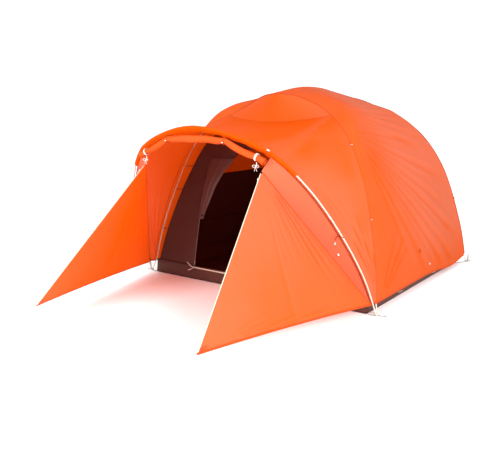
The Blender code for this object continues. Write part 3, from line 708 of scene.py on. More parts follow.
def side_grid(side):
    """The smooth shape of a side panel: over the front pole, across, and over the rear pole."""
    front, rear = panel_line(FRONT_CREST, side), panel_line(REAR_CREST, side)
    grid = np.concatenate([between(RIDGES[side], front, FACET_COLUMNS + 1),
                           between(front, rear, SPAN_COLUMNS - 2 * FACET_COLUMNS + 1)[:, 1:],
                           between(rear, REAR_RIDGES[side], FACET_COLUMNS + 1)[:, 1:]], axis=1)
    u, v = shares(grid)
    grid[:, :, 0] -= side * FLY_SAG * hump(u) * np.sin(math.pi * v)
    for _ in range(40):
        middle = (grid[:, :-2] + 2 * grid[:, 1:-1] + grid[:, 2:]) / 4
        grid[1:-1, 1:-1] = middle[1:-1]
    spine = smooth_path(SPINE, 200)
    lift = np.interp(grid[-1, :, 1], spine[:, 1], spine[:, 2]) - grid[-1, :, 2]
    climb = np.clip((np.arange(len(grid)) - LEG_ROWS) / CROWN_ROWS, 0.0, 1.0)
    grid[:, :, 2] += lift[None, :] * climb[:, None] ** 2.5
    return grid


def side_panel(side):
    """One side of the dome, with creases that fan from the front shoulder to the rear foot."""
    grid = side_grid(side)
    u, v = shares(grid)
    grid[:, :, 2] -= hem_drop(grid[:, :, 1]) * (1 - step(v, 0.0, 0.16)) \
        * step(u, 0, 0.1) * step(1 - u, 0, 0.1)
    outward = facing(grid, 0, side)
    shoulder = vec(side * 0.80, -0.86, 1.50)
    height = fan(grid[:, :, 1] - shoulder[1], shoulder[2] - grid[:, :, 2], SIDE_CREASES)
    top = vec(side * 0.60, -0.75, 1.68)
    height += 0.6 * fan(grid[:, :, 1] - top[1], top[2] - grid[:, :, 2],
                        [(1, 1.3, 0.016, 0.2, 1.6), (4.5, 1.0, 0.012, 0.25, 1.5),
                         (9, 1.2, 0.014, 0.2, 1.7), (14, 1.4, 0.010, 0.3, 1.5)])
    height += fan(grid[:, :, 1] - FRONT_FOOT[1], grid[:, :, 2] - 0.03, HEEL_CREASES)
    height *= rim_fade(grid, 0.04)
    grid += outward * (height + ripples(grid, 0.55, 0.006, 11 + side)
                       * rim_fade(grid, 0.08))[:, :, None]
    # Painted sheen and shade: paler coral over the open side, away from the front seam and above
    # the hem, and deeper orange near them; plus painted shade in the crease troughs.
    tint = 0.25 + 0.65 * step(u - 0.25 * (1 - v), 0.0, 0.40) * step(v, -0.05, 0.20)
    return grid, tint + crease_trough_shade(height)


def rear_panel():
    grid = between(REAR_RIDGES[1], REAR_RIDGES[-1], SPAN_COLUMNS + 1)
    u, v = shares(grid)
    grid[:, :, 1] -= FLY_SAG * hump(u) * np.sin(math.pi * v)
    grid[:, :, 2] -= FLY_SAG * hump(u) * (1 - step(v, 0.0, 0.14))
    outward = facing(grid, 1)
    height = ripples(grid, 0.6, 0.007, 5)
    for side in (-1, 1):
        height += fan(side * grid[:, :, 0] + 0.85, 1.48 - grid[:, :, 2],
                      [(18, 2.4, 0.007, 0.2, 1.9), (27, 2.2, 0.009, 0.2, 2.2),
                       (36, 2.2, 0.008, 0.2, 2.0), (48, 2.6, 0.006, 0.2, 1.6)])
    grid += outward * (height * rim_fade(grid, 0.08))[:, :, None]
    return grid, 0.75


def front_panel():
    """The front of the dome, from the porch seam up between the seams to the brow pole."""
    left, right = RIDGES[-1][LEG_ROWS:], RIDGES[1][LEG_ROWS:]
    grid = between(left, right, FRONT_COLUMNS + 1)
    drop = PORCH_SEAM - grid[0]
    share = np.linspace(0.0, 1.0, CROWN_ROWS + 1)[:, None]
    u = np.linspace(-1.0, 1.0, FRONT_COLUMNS + 1)[None, :]
    grid = grid + drop[None, :, :] * (1 - share)[:, :, None]
    low, high = PORCH_SEAM[FRONT_COLUMNS // 2], left[-1]
    miss = low + (high - low) * share - grid[:, FRONT_COLUMNS // 2]
    grid += 0.85 * miss[:, None, :] * (1 - u ** 2)[:, :, None]
    outward = facing(grid, 2)
    height = ripples(grid, 0.5, 0.006, 21) - 0.006 * np.sin(math.pi * share)
    grid = grid + outward * (height * rim_fade(grid, 0.12))[:, :, None]
    # Painted sheen: paler towards both sides, where the front panel turns away from the front.
    tint = 0.10 + 0.35 * np.abs(u) ** 2 + 0 * share
    return grid, tint


def roof_front_edge():
    top = HOOP[np.abs(HOOP[:, 0]) <= ROOF_HALF]
    return np.array([under_hoop(point) for point in resample(top, FRONT_COLUMNS + 1)])


def roof_panel():
    """The porch roof, from the hoop back to the seam on the dome."""
    grid = between(roof_front_edge(), PORCH_SEAM, ROOF_ROWS + 1).transpose(1, 0, 2)
    u, t = shares(grid)
    grid[:, :, 2] -= FLY_SAG * hump(t)
    outward = facing(grid, 2)
    height = ripples(grid, 0.45, 0.007, 31)
    for side in (-1, 1):
        height += fan(0.72 - side * grid[:, :, 0], grid[:, :, 1] + 1.72,
                      [(20, 4.0, 0.006, 0.12, 0.9), (38, 4.0, 0.007, 0.12, 0.95),
                       (56, 4.5, 0.006, 0.12, 0.9)])
    grid += outward * (height * rim_fade(grid, 0.12))[:, :, None]
    # Painted shading: deepest orange over the middle of the porch roof, paler at its left and
    # right edges, most towards the hoop, where it rounds down into the porch sides.
    tint = -0.15 + 0.5 * step(np.abs(2 * u - 1) + 0.15 * (1 - t), 0.72, 1.05)
    return grid, tint


def porch_side_panel(side):
    """A porch side: from the dome's leg, under the hoop, to the wing's fold line."""
    back = RIDGES[side][:LEG_ROWS + 1]
    leg = resample(hoop_leg(side, HEM_HEIGHT), LEG_ROWS + 1)
    middle = np.array([under_hoop(point) for point in leg])
    edge = roof_front_edge()
    middle[-1] = edge[-1] if side > 0 else edge[0]
    top, heel = wing_corners(side)[:2]
    fold = between(heel[None, :], top[None, :], LEG_ROWS + 1)[0]
    near = between(back, middle, ROOF_ROWS + 1)
    far = between(middle, fold, 25)
    t, v = shares(near)
    near[:, :, 2] -= FLY_SAG * hump(t) * v ** 6
    outward = facing(near, 0, side)
    near -= outward * (0.012 * hump(t) * np.sin(math.pi * v))[:, :, None]
    height = ripples(near, 0.5, 0.006, 41 + side)
    height += fan(near[:, :, 1] + 1.72, 1.44 - near[:, :, 2],
                  [(52, 1.5, 0.008, 0.40, 1.5), (58, 1.2, 0.008, 0.45, 1.4),
                   (64, 1.4, 0.010, 0.40, 1.6), (71, 1.6, 0.008, 0.40, 1.4)])
    height += fan(1.10 - near[:, :, 1] - 2.1, near[:, :, 2] - 0.02,
                  [(66, 1.7, 0.012, 0.12, 0.9), (72, 1.3, 0.011, 0.16, 1.1),
                   (78, 1.6, 0.014, 0.12, 1.0), (84, 1.6, 0.011, 0.12, 0.8)])
    height *= rim_fade(near, 0.06)
    near += outward * height[:, :, None]
    whole = np.concatenate([near, far[:, 1:]], axis=1)
    reach = np.linspace(0.0, 1.0, whole.shape[1])[None, :]
    # Painted light and shade: deeper beside the dome's seam, paler low down towards the dome,
    # deeper up under the roof, painted shade in the crease troughs, and the strip out by the
    # wing's fold made much paler for the light from the front.
    tint = 0.62 - 0.25 * np.exp(-((reach - 0.12) / 0.18) ** 2) + 0.25 * (1 - v) * (1 - reach)
    tint = tint - 0.35 * step(v, 0.72, 1.0) * (1 - step(reach, 0.0, 0.9))
    tint[:, :ROOF_ROWS + 1] += crease_trough_shade(height)
    return whole, tint + 0.6 * step(reach, 0.62, 0.68)


def fly_canopy():
    """The whole fly but its wings, as one continuous sheet."""
    patches = [side_panel(1), side_panel(-1), rear_panel(), front_panel(), roof_panel(),
               porch_side_panel(1), porch_side_panel(-1)]
    fly = cloth_sheet("fly_canopy", patches, FLY)
    fit(fly, "tent", "fly", "fly_front", "fly_side_left", "fly_side_right", "fly_rear",
        "porch_roof", "porch_side_left", "porch_side_right")
    return fly


def seam_band(name, line, side, width, material=SEAM, slot="fly"):
    """A felled seam or hem: a narrow folded strip of the cloth along a line."""
    piece = swept(name, line, band_section(width, 0.0022), material, side=side)
    fit(piece, "tent", slot)
    return piece


def outward_along(line, middle=(0.0, 0.0, 0.5)):
    away = line - vec(*middle)
    return away / np.linalg.norm(away, axis=1)[:, None]


def fly_seams():
    """Felled seams along the ridges and the porch, and the folded hems."""
    made = []
    for side, label in SIDES:
        for line, place in ((RIDGES[side], "front"), (REAR_RIDGES[side], "rear")):
            out = outward_along(line)
            made.append(seam_band(f"seam_{place}_ridge_{label}", line + out * SEAM_LIFT, out,
                                  0.013))
        hem = side_panel(side)[0][0]
        out = vec(side, 0, 0.1)
        made.append(seam_band(f"hem_side_{label}", hem + UP * HEM_LIFT, out, 0.015))
        hem = porch_side_panel(side)[0][0]
        out = outward_along(hem, (0.0, 0.0, 0.1))
        made.append(seam_band(f"hem_porch_{label}", hem + UP * HEM_LIFT, out, 0.015))
    hem = rear_panel()[0][0]
    made.append(seam_band("hem_rear", hem + UP * HEM_LIFT, vec(0, 1, 0.1), 0.015))
    out = unit(vec(0, -0.35, 1))
    made.append(seam_band("seam_porch_roof", PORCH_SEAM + out * SEAM_LIFT, out, 0.012))
    return made


# --- porch: sleeve, roll, wings ------------------------------------------------------------

def pole_sleeve():
    """The sleeve that holds the porch roof to the hoop: a band folded round the pole."""
    held = resample(HOOP[np.abs(HOOP[:, 0]) <= 0.865], 121)
    along = tangents(held)
    outline = [(0.039, -0.0012), (0.032, -0.0036), (0.022, -0.0065), (0.011, -0.0105),
               (0.0, -0.0120), (-0.0085, -0.0085), (-0.0120, 0.0), (-0.0085, 0.0085),
               (0.0, 0.0120), (0.011, 0.0105), (0.022, 0.0065), (0.032, 0.0036), (0.039, 0.0012)]
    dice = np.random.default_rng(3)
    phase = dice.uniform(0, 2 * math.pi, 6)
    rows = []
    for index, point in enumerate(held):
        inward = unit(under_hoop(point) - point)
        inward = unit(inward - along[index] * (inward @ along[index]))
        square = np.cross(along[index], inward)
        share = index / (len(held) - 1)
        pucker = sum(math.sin(2 * math.pi * share * (9 + 5 * k) + phase[k]) for k in range(4))
        end = step(share, 0.0, 0.02) * (1 - step(share, 0.98, 1.0))
        rows.append([point + inward * a * (1 + 0.05 * pucker * (a > 0))
                     + square * b * (1 + 0.10 * pucker) * (0.85 + 0.15 * end)
                     for a, b in outline])
    sleeve = cloth_sheet("hoop_sleeve", [(np.array(rows), -0.1)], FLY)
    fit(sleeve, "tent", "fly", "pole_sleeve")


def rolled_door():
    """The porch door rolled up along its whole width, pinched where the loops hold it."""
    line = smooth_path(ROLL_LINE, 121)
    along = tangents(line)
    turns, per_turn = 10, 24
    spiral = circle(turns * per_turn + 1, turns)
    dice = np.random.default_rng(8)
    phase = dice.uniform(0, 2 * math.pi, 8)
    rows = []
    for index, point in enumerate(line):
        share = index / (len(line) - 1)
        pinch = sum(math.exp(-((point[0] - x) / 0.045) ** 2) for x in ROLL_TIES)
        point = point - vec(0, 0, 0.010 * (1 - pinch))
        side, rise = square_to(along[index])
        ring = []
        for turn in spiral:
            radius = ROLL_CORE + (ROLL_RADIUS - ROLL_CORE) * turn / spiral[-1]
            lumps = (0.075 * math.sin(2 * turn + 9 * share + phase[0])
                     + 0.060 * math.sin(3 * turn - 23 * share + phase[1])
                     + 0.055 * math.sin(turn + 41 * share + phase[2]))
            pleats = pinch * 0.05 * math.sin(9 * turn + phase[3])
            radius *= 1.07 + lumps * (1 - 0.7 * pinch) + pleats - 0.20 * pinch
            ring.append(point + side * math.cos(turn + 0.9) * radius
                        + rise * math.sin(turn + 0.9) * radius)
        rows.append(ring)
    roll = cloth_sheet("porch_door_roll", [(np.array(rows), 0.25)], FLY, weld=1e-5)
    fit(roll, "tent", "fly", "rolled_door")
    return roll


def tie_bow(name, centre, size, body):
    """A slack bow of thin cord with two loops and two tails."""
    loops = []
    for way in (-1, 1):
        loop = [(0, 0, 0), (way * 0.5, -0.2, 0.25), (way, -0.3, -0.05), (way * 0.6, -0.2, -0.38),
                (0, -0.08, -0.03)]
        tail = [(0, -0.1, 0), (way * 0.15, -0.3, -0.6), (way * 0.42, -0.25, -1.35)]
        for points, radius, count in ((loop, 0.0022, 26), (tail, 0.0020, 18)):
            loops.append(cord_piece("bow", centre + np.array(points) * size, radius, CORD, count))
    knot = [centre + vec(0.0045 * math.cos(a), -0.004, 0.0045 * math.sin(a)) for a in circle(13)]
    loops.append(cord_piece("knot", knot, 0.0026, CORD, count=20))
    fit(joined(name, loops), body, "cord")


def roll_ties():
    """Webbing loops round the roll, the outer two closed with a toggle and a bow."""
    line = smooth_path(ROLL_LINE, 401)
    along = tangents(line)
    for number, x in enumerate(ROLL_TIES):
        index = int(np.argmin(np.abs(line[:, 0] - x)))
        side, rise = square_to(along[index])
        radius = ROLL_RADIUS + 0.0022
        ring = np.array([line[index] + side * math.cos(turn) * radius
                         + rise * math.sin(turn) * radius for turn in circle(49)[:-1]])
        out = (ring - line[index]) / radius
        outer = number in (0, 3)
        width = 0.017 if outer else 0.009
        tie = swept(f"roll_loop_{number + 1}", ring, band_section(width, 0.0018),
                    WEBBING if outer else SEAM, side=out, closed=True)
        fit(tie, "tent", "webbing", f"roll_tie_{number + 1}")
        if not outer:
            catch = softened_block(f"roll_catch_{number + 1}", (0.007, 0.006, 0.016),
                                   line[index] + vec(0, -radius - 0.002, -0.010), along[index],
                                   vec(0, -1, 0.2), PALE, 0.002)
            fit(catch, "tent", "plastic")
            continue
        label = "left" if number == 0 else "right"
        low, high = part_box(f"toggle_{label}")
        centre = (np.array(low) + np.array(high)) / 2
        length = high[2] - low[2]
        heights = np.linspace(-0.5, 0.5, 15)
        spots = [centre + vec(0, 0, share * length) for share in heights]
        barrel = [0.55 + 0.55 * math.cos(math.pi * share) ** 0.5
                  - 0.28 * math.exp(-(share / 0.10) ** 2) for share in heights]
        toggle = swept(f"toggle_barrel_{label}", spots, round_section(0.0045, 16), PALE,
                       side=vec(0, 1, 0), scale=barrel)
        fit(toggle, f"toggle_{label}", "plastic", f"toggle_{label}")
        tie_bow(f"toggle_bow_{label}", centre + vec(0, -0.006, -0.010), 0.030, f"toggle_{label}")


def wing_bend(piece):
    """Bakes the piece's placement into its mesh."""
    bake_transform(piece)


WING_CREASES = [(4, 1.0, 0.012, 0.10, 1.15), (8, 1.0, 0.015, 0.12, 1.10),
                (12, 0.9, 0.010, 0.20, 0.95), (16, 1.2, 0.012, 0.12, 0.85),
                (24, 1.2, 0.006, 0.25, 0.9), (34, 1.4, 0.006, 0.3, 1.3)]
TIP_CREASES = [(1.8, 0.7, 0.010, 0.12, 1.35), (4.0, 0.8, 0.009, 0.16, 1.10),
               (7.0, 1.0, 0.007, 0.20, 0.9), (11.0, 1.3, 0.005, 0.25, 0.8)]


def wing_grid(side):
    """A wing from its hem up to the hoop, with creases from its top and its tip."""
    top, heel, tip = wing_corners(side)
    share = np.linspace(0.0, 0.985, WING_CELLS)[:, None]
    rear = heel + (top - heel) * share
    fore = tip + (top - tip) * share
    grid = between(rear, fore, WING_CELLS)
    u = shares(grid)[0]
    grid[:, :, 2] += 0.014 * hump(u) * (1 - step(share, 0.0, 0.25))
    plane = unit(np.cross(tip - heel, top - heel)) * side
    plane *= np.sign(plane[0] * side)
    down = unit(heel - top)
    square = unit((tip - top) - down * ((tip - top) @ down))
    height = fan((grid - top) @ down, (grid - top) @ square, WING_CREASES)
    back = unit(heel - tip)
    rise = unit((top - tip) - back * ((top - tip) @ back))
    height += fan((grid - tip) @ back, (grid - tip) @ rise, TIP_CREASES)
    creases = height * rim_fade(grid, 0.04)
    height = (ripples(grid, 0.6, 0.007, 61 + side)
              - 0.018 * np.sin(math.pi * u) * np.sin(math.pi * share)) * rim_fade(grid, 0.06)
    grid += plane * (height + creases)[:, :, None]
    # The last value is painted shade for the troughs beside the creases.
    return grid, plane, crease_trough_shade(creases)


def wings():
    """The two porch wings with their zip edges, hems and corner patches."""
    for side, label in SIDES:
        grid, plane, creased = wing_grid(side)
        body = f"wing_{label}"
        u, v = shares(grid)
        # Painted light: the right wing paler coral towards its top and low by its tip, as painted
        # sheen; the left wing, seen from its inner face, deep orange for the light through it and
        # paler low by its tip; plus painted shade in the crease troughs.
        tint = (0.35 + 0.5 * v + 0.3 * (1 - v) * step(u, 0.55, 1.0) if side > 0 else
                0.10 + 0.55 * step(u, 0.45, 1.0) * (1 - v))
        sheet = cloth_sheet(f"{body}_cloth", [(grid, tint + creased)], FLY)
        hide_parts(body)
        edge = grid[:, -1]
        slope = unit(edge[-1] - edge[0])
        tape = swept(f"zip_edge_{label}", edge, band_section(0.0065, 0.0045), PIPING, side=plane)
        teeth = zip_teeth(f"zip_teeth_{label}", edge, plane, 0.0032)
        hem = grid[0]
        fold = swept(f"hem_wing_{label}", hem + UP * 0.008, band_section(0.016, 0.0028),
                     SEAM, side=plane)
        inner = grid[:, 0]
        seam = swept(f"seam_wing_{label}", inner + plane * 0.0012, band_section(0.011, 0.0020),
                     SEAM, side=plane)
        patch = corner_patch(f"tip_patch_{label}", grid, plane)
        for piece, name in ((sheet, "fly"), (tape, "fly"), (teeth, "plastic"), (fold, "fly"),
                            (seam, "fly"), (patch, "fly")):
            wing_bend(piece)
        place = box_middle(f"wing_zip_slider_{label}")
        slider = zip_slider(f"wing_slider_{label}", place, slope, plane, 0.016, PALE, CORD)
        fit(slider, f"wing_zip_{label}", "plastic", f"wing_zip_slider_{label}")


def zip_teeth(name, line, normal, size):
    """Coil teeth along a zip, as one finely stepped strip."""
    line = resample(line, 361)
    pulse = [1.0 if index % 2 else 0.55 for index in range(len(line))]
    return swept(name, line + normal * 0.0022, band_section(size, size * 0.6), PALE, side=normal,
                 scale=pulse)


def corner_patch(name, grid, plane):
    """The doubled patch of cloth at a wing's tip, on its outer face."""
    size = WING_CELLS // 20
    near = grid[:size, -size:] + plane * SEAM_LIFT
    return cloth_sheet(name, [(near, 0.9)], SEAM)


def zip_slider(name, place, along, out, size, hard, soft):
    """A zip slider: a waisted body, a bridge, a pull tab and a short cord."""
    along, out = unit(along), unit(out)
    side = np.cross(along, out)

    def at(a, o, s=0.0):
        return place + (along * a + out * o + side * s) * size

    body = softened_block(f"{name}_body", (size * 0.55, size * 0.34, size), place, along, out,
                          hard, size * 0.10, taper=0.72)
    bridge = swept(f"{name}_bridge",
                   smooth_path([at(-0.32, 0.16), at(0, 0.36), at(0.32, 0.16)], 12),
                   band_section(size * 0.16, size * 0.09), hard, side=out + side * 1e-3)
    tab = softened_block(f"{name}_tab", (size * 0.26, size * 0.08, size * 0.9),
                         at(-0.62, 0.30), along, out, hard, size * 0.035, taper=0.8)
    puller = cord_piece(f"{name}_cord", [at(-1.0, 0.30), at(-1.5, 0.34, 0.1), at(-2.3, 0.26)],
                        size * 0.085, soft, count=20)
    return joined(name, [body, bridge, tab, puller])


# --- inner tent ----------------------------------------------------------------------------

INNER_SEAMS = {(label, side): smooth_path(sided(points, side), 400) for side in (-1, 1)
               for label, points in (("front", INNER_FRONT), ("rear", INNER_REAR))}
DOOR_TOP = 1.30
HEADER_TOP = 1.37
ARCH_START = 1.02
ARCH_END = 1.26
ARCH_HALF = 0.345


def front_wall_y(height):
    """How far forward the leaning front wall is at a height."""
    return at_height(INNER_SEAMS["front", 1], height)[1]


def jamb_x(height):
    """Half width of the doorway at a height: straight jambs under an arch."""
    share = step(height, ARCH_START, ARCH_END)
    return DOOR_JAMB_X - (DOOR_JAMB_X - ARCH_HALF) * float(share)


def inner_front():
    """The brown front wall of the inner tent, with its arched doorway."""
    heights = np.concatenate([np.linspace(TUB_HEIGHT, ARCH_START, 22),
                              np.linspace(ARCH_START, DOOR_TOP, 16)[1:]])
    edge_columns, door_columns = 12, 14
    patches = []
    for side in (-1, 1):
        rows = []
        for height in heights:
            corner = at_height(INNER_SEAMS["front", side], height)
            jamb = vec(side * jamb_x(height), corner[1], height)
            share = np.linspace(0.0, 1.0, edge_columns)[:, None]
            rows.append(corner + (jamb - corner) * share)
        grid = np.array(rows)
        grid[:, :, 1] -= ripples(grid, 0.35, 0.007, 71 + side) * rim_fade(grid, 0.2)
        patches.append((grid, 0.3))
    rows = []
    for height in np.linspace(DOOR_TOP, HEADER_TOP, 5):
        corner = at_height(INNER_SEAMS["front", 1], height)
        half = jamb_x(DOOR_TOP)
        spots = np.concatenate([np.linspace(-corner[0], -half, edge_columns),
                                np.linspace(-half, half, door_columns)[1:-1],
                                np.linspace(half, corner[0], edge_columns)])
        rows.append([(x, corner[1], height) for x in spots])
    patches.append((np.array(rows), 0.3))
    wall = cloth_sheet("inner_front_wall", patches, INNER)
    fit(wall, "tent", "inner_cloth", "inner_front_left", "inner_front_right", "door_header")
    outline = [vec(-jamb_x(h), front_wall_y(h) - 0.001, h) for h in heights]
    outline += [vec(x, front_wall_y(DOOR_TOP) - 0.001, DOOR_TOP)
                for x in np.linspace(-jamb_x(DOOR_TOP), jamb_x(DOOR_TOP), 14)[1:-1]]
    outline += [vec(jamb_x(h), front_wall_y(h) - 0.001, h) for h in heights[::-1]]
    seam_band("doorway_binding", np.array(outline), unit(vec(0, -1, 0.25)), 0.014, INNER_EDGE,
              slot="inner_cloth")
    for side, label in SIDES[::-1]:
        corner = resample(above(INNER_SEAMS["front", side], 0.01), 400)
        corner = corner[corner[:, 2] < HEADER_TOP]
        away = outward_along(corner, (0, 0, 0.4))
        seam_band(f"inner_seam_front_{label}", resample(corner, 60) + resample(away, 60) * 0.001,
                  resample(away, 60), 0.012, INNER_EDGE, slot="inner_cloth")


def wall_rows(label, side):
    line = above(INNER_SEAMS[label, side], TUB_HEIGHT)
    return resample(line[line[:, 2] <= BROWN_TOP], 30)


def inner_walls():
    """The solid side and rear walls of the inner tent, as one sheet round three sides."""
    patches = []
    for first, last, inward, seed in ((("front", 1), ("rear", 1), vec(-1, 0, 0), 82),
                                      (("front", -1), ("rear", -1), vec(1, 0, 0), 80),
                                      (("rear", 1), ("rear", -1), vec(0, -1, 0), 91)):
        grid = between(wall_rows(*first), wall_rows(*last), 41)
        u, v = shares(grid)
        bulge = (INNER_BULGE * hump(u) * np.sin(math.pi * v)
                 + ripples(grid, 0.4, 0.006, seed) * rim_fade(grid))
        patches.append((grid + inward * bulge[:, :, None], 0.4))
    walls = cloth_sheet("inner_walls", patches, INNER)
    fit(walls, "tent", "inner_cloth", "inner_wall_left", "inner_wall_right", "inner_wall_rear")
    bands = []
    for side in (1, -1):
        for height in (BROWN_TOP, 0.47):
            front = at_height(INNER_SEAMS["front", side], height)
            rear = at_height(INNER_SEAMS["rear", side], height)
            line = np.linspace(front, rear, 41)
            share = (height - TUB_HEIGHT) / (BROWN_TOP - TUB_HEIGHT)
            middle = INNER_BULGE * hump(np.linspace(0.0, 1.0, 41)) * math.sin(math.pi * share)
            line[:, 0] -= side * (middle + 0.002)
            bands.append(swept("band", line, band_section(0.012, 0.002), INNER_EDGE,
                               side=vec(side, 0, 0.2)))
    fit(joined("inner_wall_seams", bands), "tent", "inner_cloth")


def canopy_net():
    """The see-through upper part of the inner tent, one dome of fine net."""
    heights = np.concatenate([np.linspace(BROWN_TOP, 1.57, 22), np.linspace(1.57, 1.715, 8)[1:]])
    count = 25
    loops = []
    for height in heights:
        limit = min(height, 1.7185)
        corners = [at_height(INNER_SEAMS[key], limit) for key in
                   (("front", -1), ("front", 1), ("rear", 1), ("rear", -1))]
        loop = []
        for first, last in zip(corners, corners[1:] + corners[:1]):
            for t in np.linspace(0.0, 1.0, count)[:-1]:
                loop.append(first + (last - first) * t)
        loops.append(loop + loop[:1])
    grid = np.array(loops)
    rest = grid[:, count - 1:]
    over_door = grid[heights >= HEADER_TOP - 0.005, :count]
    net = cloth_sheet("canopy_net", [(rest, 0.5), (over_door, 0.5)], MESH)
    fit(net, "tent", "mesh_cloth", "mesh_canopy")


def tub_floor():
    """The waterproof floor with its low walls and softly creased bottom."""
    half_x, half_y = FLOOR_WIDTH / 2, FLOOR_LENGTH / 2
    xs = np.linspace(-half_x, half_x, 49)
    ys = np.linspace(-half_y, half_y, 45)
    flat = np.array([[(x, y, 0.0055) for x in xs] for y in ys])
    lumps = ripples(flat, 0.30, 0.004, 101) + 0.003
    flat[:, :, 2] += np.clip(lumps, 0.0, 0.01) * rim_fade(flat, 0.05)
    patches = [(flat, 0.6)]
    slope = 0.006
    share = np.linspace(0.0, 1.0, 8)[:, None, None]
    for edge, shift in ((flat[0], vec(0, slope, 0)), (flat[-1], vec(0, -slope, 0)),
                        (flat[:, 0], vec(slope, 0, 0)), (flat[:, -1], vec(-slope, 0, 0))):
        rim = edge + shift + vec(0, 0, TUB_HEIGHT - 0.0055)
        if shift[0] == 0:
            rim[:, 0] *= (half_x - slope) / half_x
        else:
            rim[:, 1] *= (half_y - slope) / half_y
        wall = edge[None] + (rim - edge)[None] * share
        wall += unit(-shift) * 0.004 * np.sin(math.pi * share) \
            * np.sin(np.linspace(0, 9 * math.pi, wall.shape[1]))[None, :, None]
        patches.append((wall, 0.4))
    floor = cloth_sheet("groundsheet", patches, FLOOR)
    fit(floor, "tent", "floor_cloth", "tub_floor")
    rims = []
    for start, end in (((-1, -1), (1, -1)), ((1, -1), (1, 1)), ((1, 1), (-1, 1)),
                       ((-1, 1), (-1, -1))):
        line = np.linspace((start[0] * (half_x - slope), start[1] * (half_y - slope), TUB_HEIGHT),
                           (end[0] * (half_x - slope), end[1] * (half_y - slope), TUB_HEIGHT), 30)
        out = vec((start[0] + end[0]) / 2, (start[1] + end[1]) / 2, 0)
        rims.append(swept("rim", line, band_section(0.012, 0.0022), INNER, side=out))
    fit(joined("groundsheet_seam", rims), "tent", "floor_cloth")


# The edges of the gathered inner door at a few heights: height, left x, right x
FLAP_EDGES = [(0.60, -0.692, -0.628), (0.68, -0.694, -0.612), (0.76, -0.694, -0.580),
              (0.92, -0.690, -0.530), (1.08, -0.680, -0.450), (1.20, -0.665, -0.352)]


def inner_door():
    """The inner door folded sideways against its left jamb, widening up to the arch."""
    heights = np.linspace(0.605, 1.200, 44)
    turns, per_turn = 9, 36
    spiral = circle(turns * per_turn + 1, turns)
    levels, lefts, rights = np.array(FLAP_EDGES).T
    rows = []
    for height in heights:
        share = (height - heights[0]) / (heights[-1] - heights[0])
        left, right = np.interp(height, levels, lefts), np.interp(height, levels, rights)
        half = (right - left) / 2
        depth = 0.0165 - 0.0115 * step(share, 0.55, 1.0)
        centre = vec((left + right) / 2, front_wall_y(height) - 0.012 - depth, height)
        ring = []
        for turn in spiral:
            r = 0.25 + 0.75 * turn / spiral[-1]
            across = math.cos(turn + 2.4)
            pleat = 0.30 * math.sin(9.0 * across + 1.5 + 0.8 * share) * math.sin(turn + 2.4) ** 2
            ring.append(centre + vec(across * half * r,
                                     math.sin(turn + 2.4) * depth * r * (0.85 + pleat), 0.0))
        rows.append(ring)
    flap = cloth_sheet("inner_door_cloth", [(np.array(rows), 0.1)], INNER_PALE, weld=1e-5)
    fit(flap, "inner_door", "inner_cloth", "door_flap")
    low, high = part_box("door_tie_back")
    centre = (np.array(low) + np.array(high)) / 2
    middle = vec(-0.651, front_wall_y(0.64) - 0.029, 0.64)
    ring = np.array([middle + vec(0.027 * math.cos(t), 0.0205 * math.sin(t), 0.0)
                     for t in circle(37)[:-1]])
    out = (ring - middle) / np.linalg.norm(ring - middle, axis=1)[:, None]
    tie = swept("door_tie_loop", ring, band_section(0.013, 0.0018), INNER_EDGE, side=out,
                closed=True)
    tag = softened_block("door_tie_toggle", (0.007, 0.006, 0.024),
                         (centre[0], low[1] - 0.001, 0.64), vec(1, 0, 0.2), vec(0, -1, 0), DARK,
                         0.0018)
    fit(tie, "inner_door", "webbing", "door_tie_back")
    fit(tag, "inner_door", "webbing")


def door_zips():
    """The zips of the inner door: up the jamb and along the sill, with their sliders."""
    heights = np.linspace(0.150, 0.66, 40)
    line = np.array([(-DOOR_JAMB_X + 0.003, front_wall_y(h) - 0.0035, h) for h in heights])
    out = unit(vec(0, -1, 0.25))
    jamb = swept("jamb_zip_tape", line, band_section(0.014, 0.0018), INNER_EDGE, side=out)
    coil = zip_teeth("jamb_zip_teeth", line, out * 0.7, 0.0036)
    coil.data.materials[0] = GREY_WEB
    sill_z = 0.122
    line = np.array([(x, -FLOOR_LENGTH / 2 - 0.0026, sill_z)
                     for x in np.linspace(-DOOR_JAMB_X + 0.01, DOOR_JAMB_X - 0.01, 60)])
    out = vec(0, -1, 0)
    sill = swept("sill_zip_tape", line, band_section(0.012, 0.0018), PIPING, side=out)
    sill_coil = zip_teeth("sill_zip_teeth", line, out, 0.0032)
    for piece in (jamb, coil, sill, sill_coil):
        fit(piece, "tent", "plastic")
    for name, along, body, soft in (("jamb_zip", vec(0, 0.18, 0.98), "jamb_zip", GREY_WEB),
                                    ("sill_zip", vec(1, 0, 0), "sill_zip", CORD)):
        place = box_middle(f"{name}_slider") + vec(0, -0.001, 0)
        slider = zip_slider(f"{name}_pull", place, along, vec(0, -1, 0), 0.014, PALE, soft)
        fit(slider, body, "plastic", f"{name}_slider")
    x, y, z = -DOOR_JAMB_X + 0.02, -FLOOR_LENGTH / 2 - 0.010, sill_z
    tails = [cord_piece("tail", [(x, y, z), (x - 0.03, y - 0.012, z + 0.018),
                                 (x - 0.07, y - 0.018, z + 0.050)], 0.0042, CORD, count=24),
             cord_piece("tail", [(x, y, z), (x - 0.022, y - 0.012, z - 0.014),
                                 (x - 0.062, y - 0.016, z - 0.032)], 0.0036, CORD, count=24)]
    fit(joined("sill_tie", tails), "tent", "cord")


# --- poles and fittings --------------------------------------------------------------------

def repaint(node, material):
    node.data.materials.clear()
    node.data.materials.append(material)


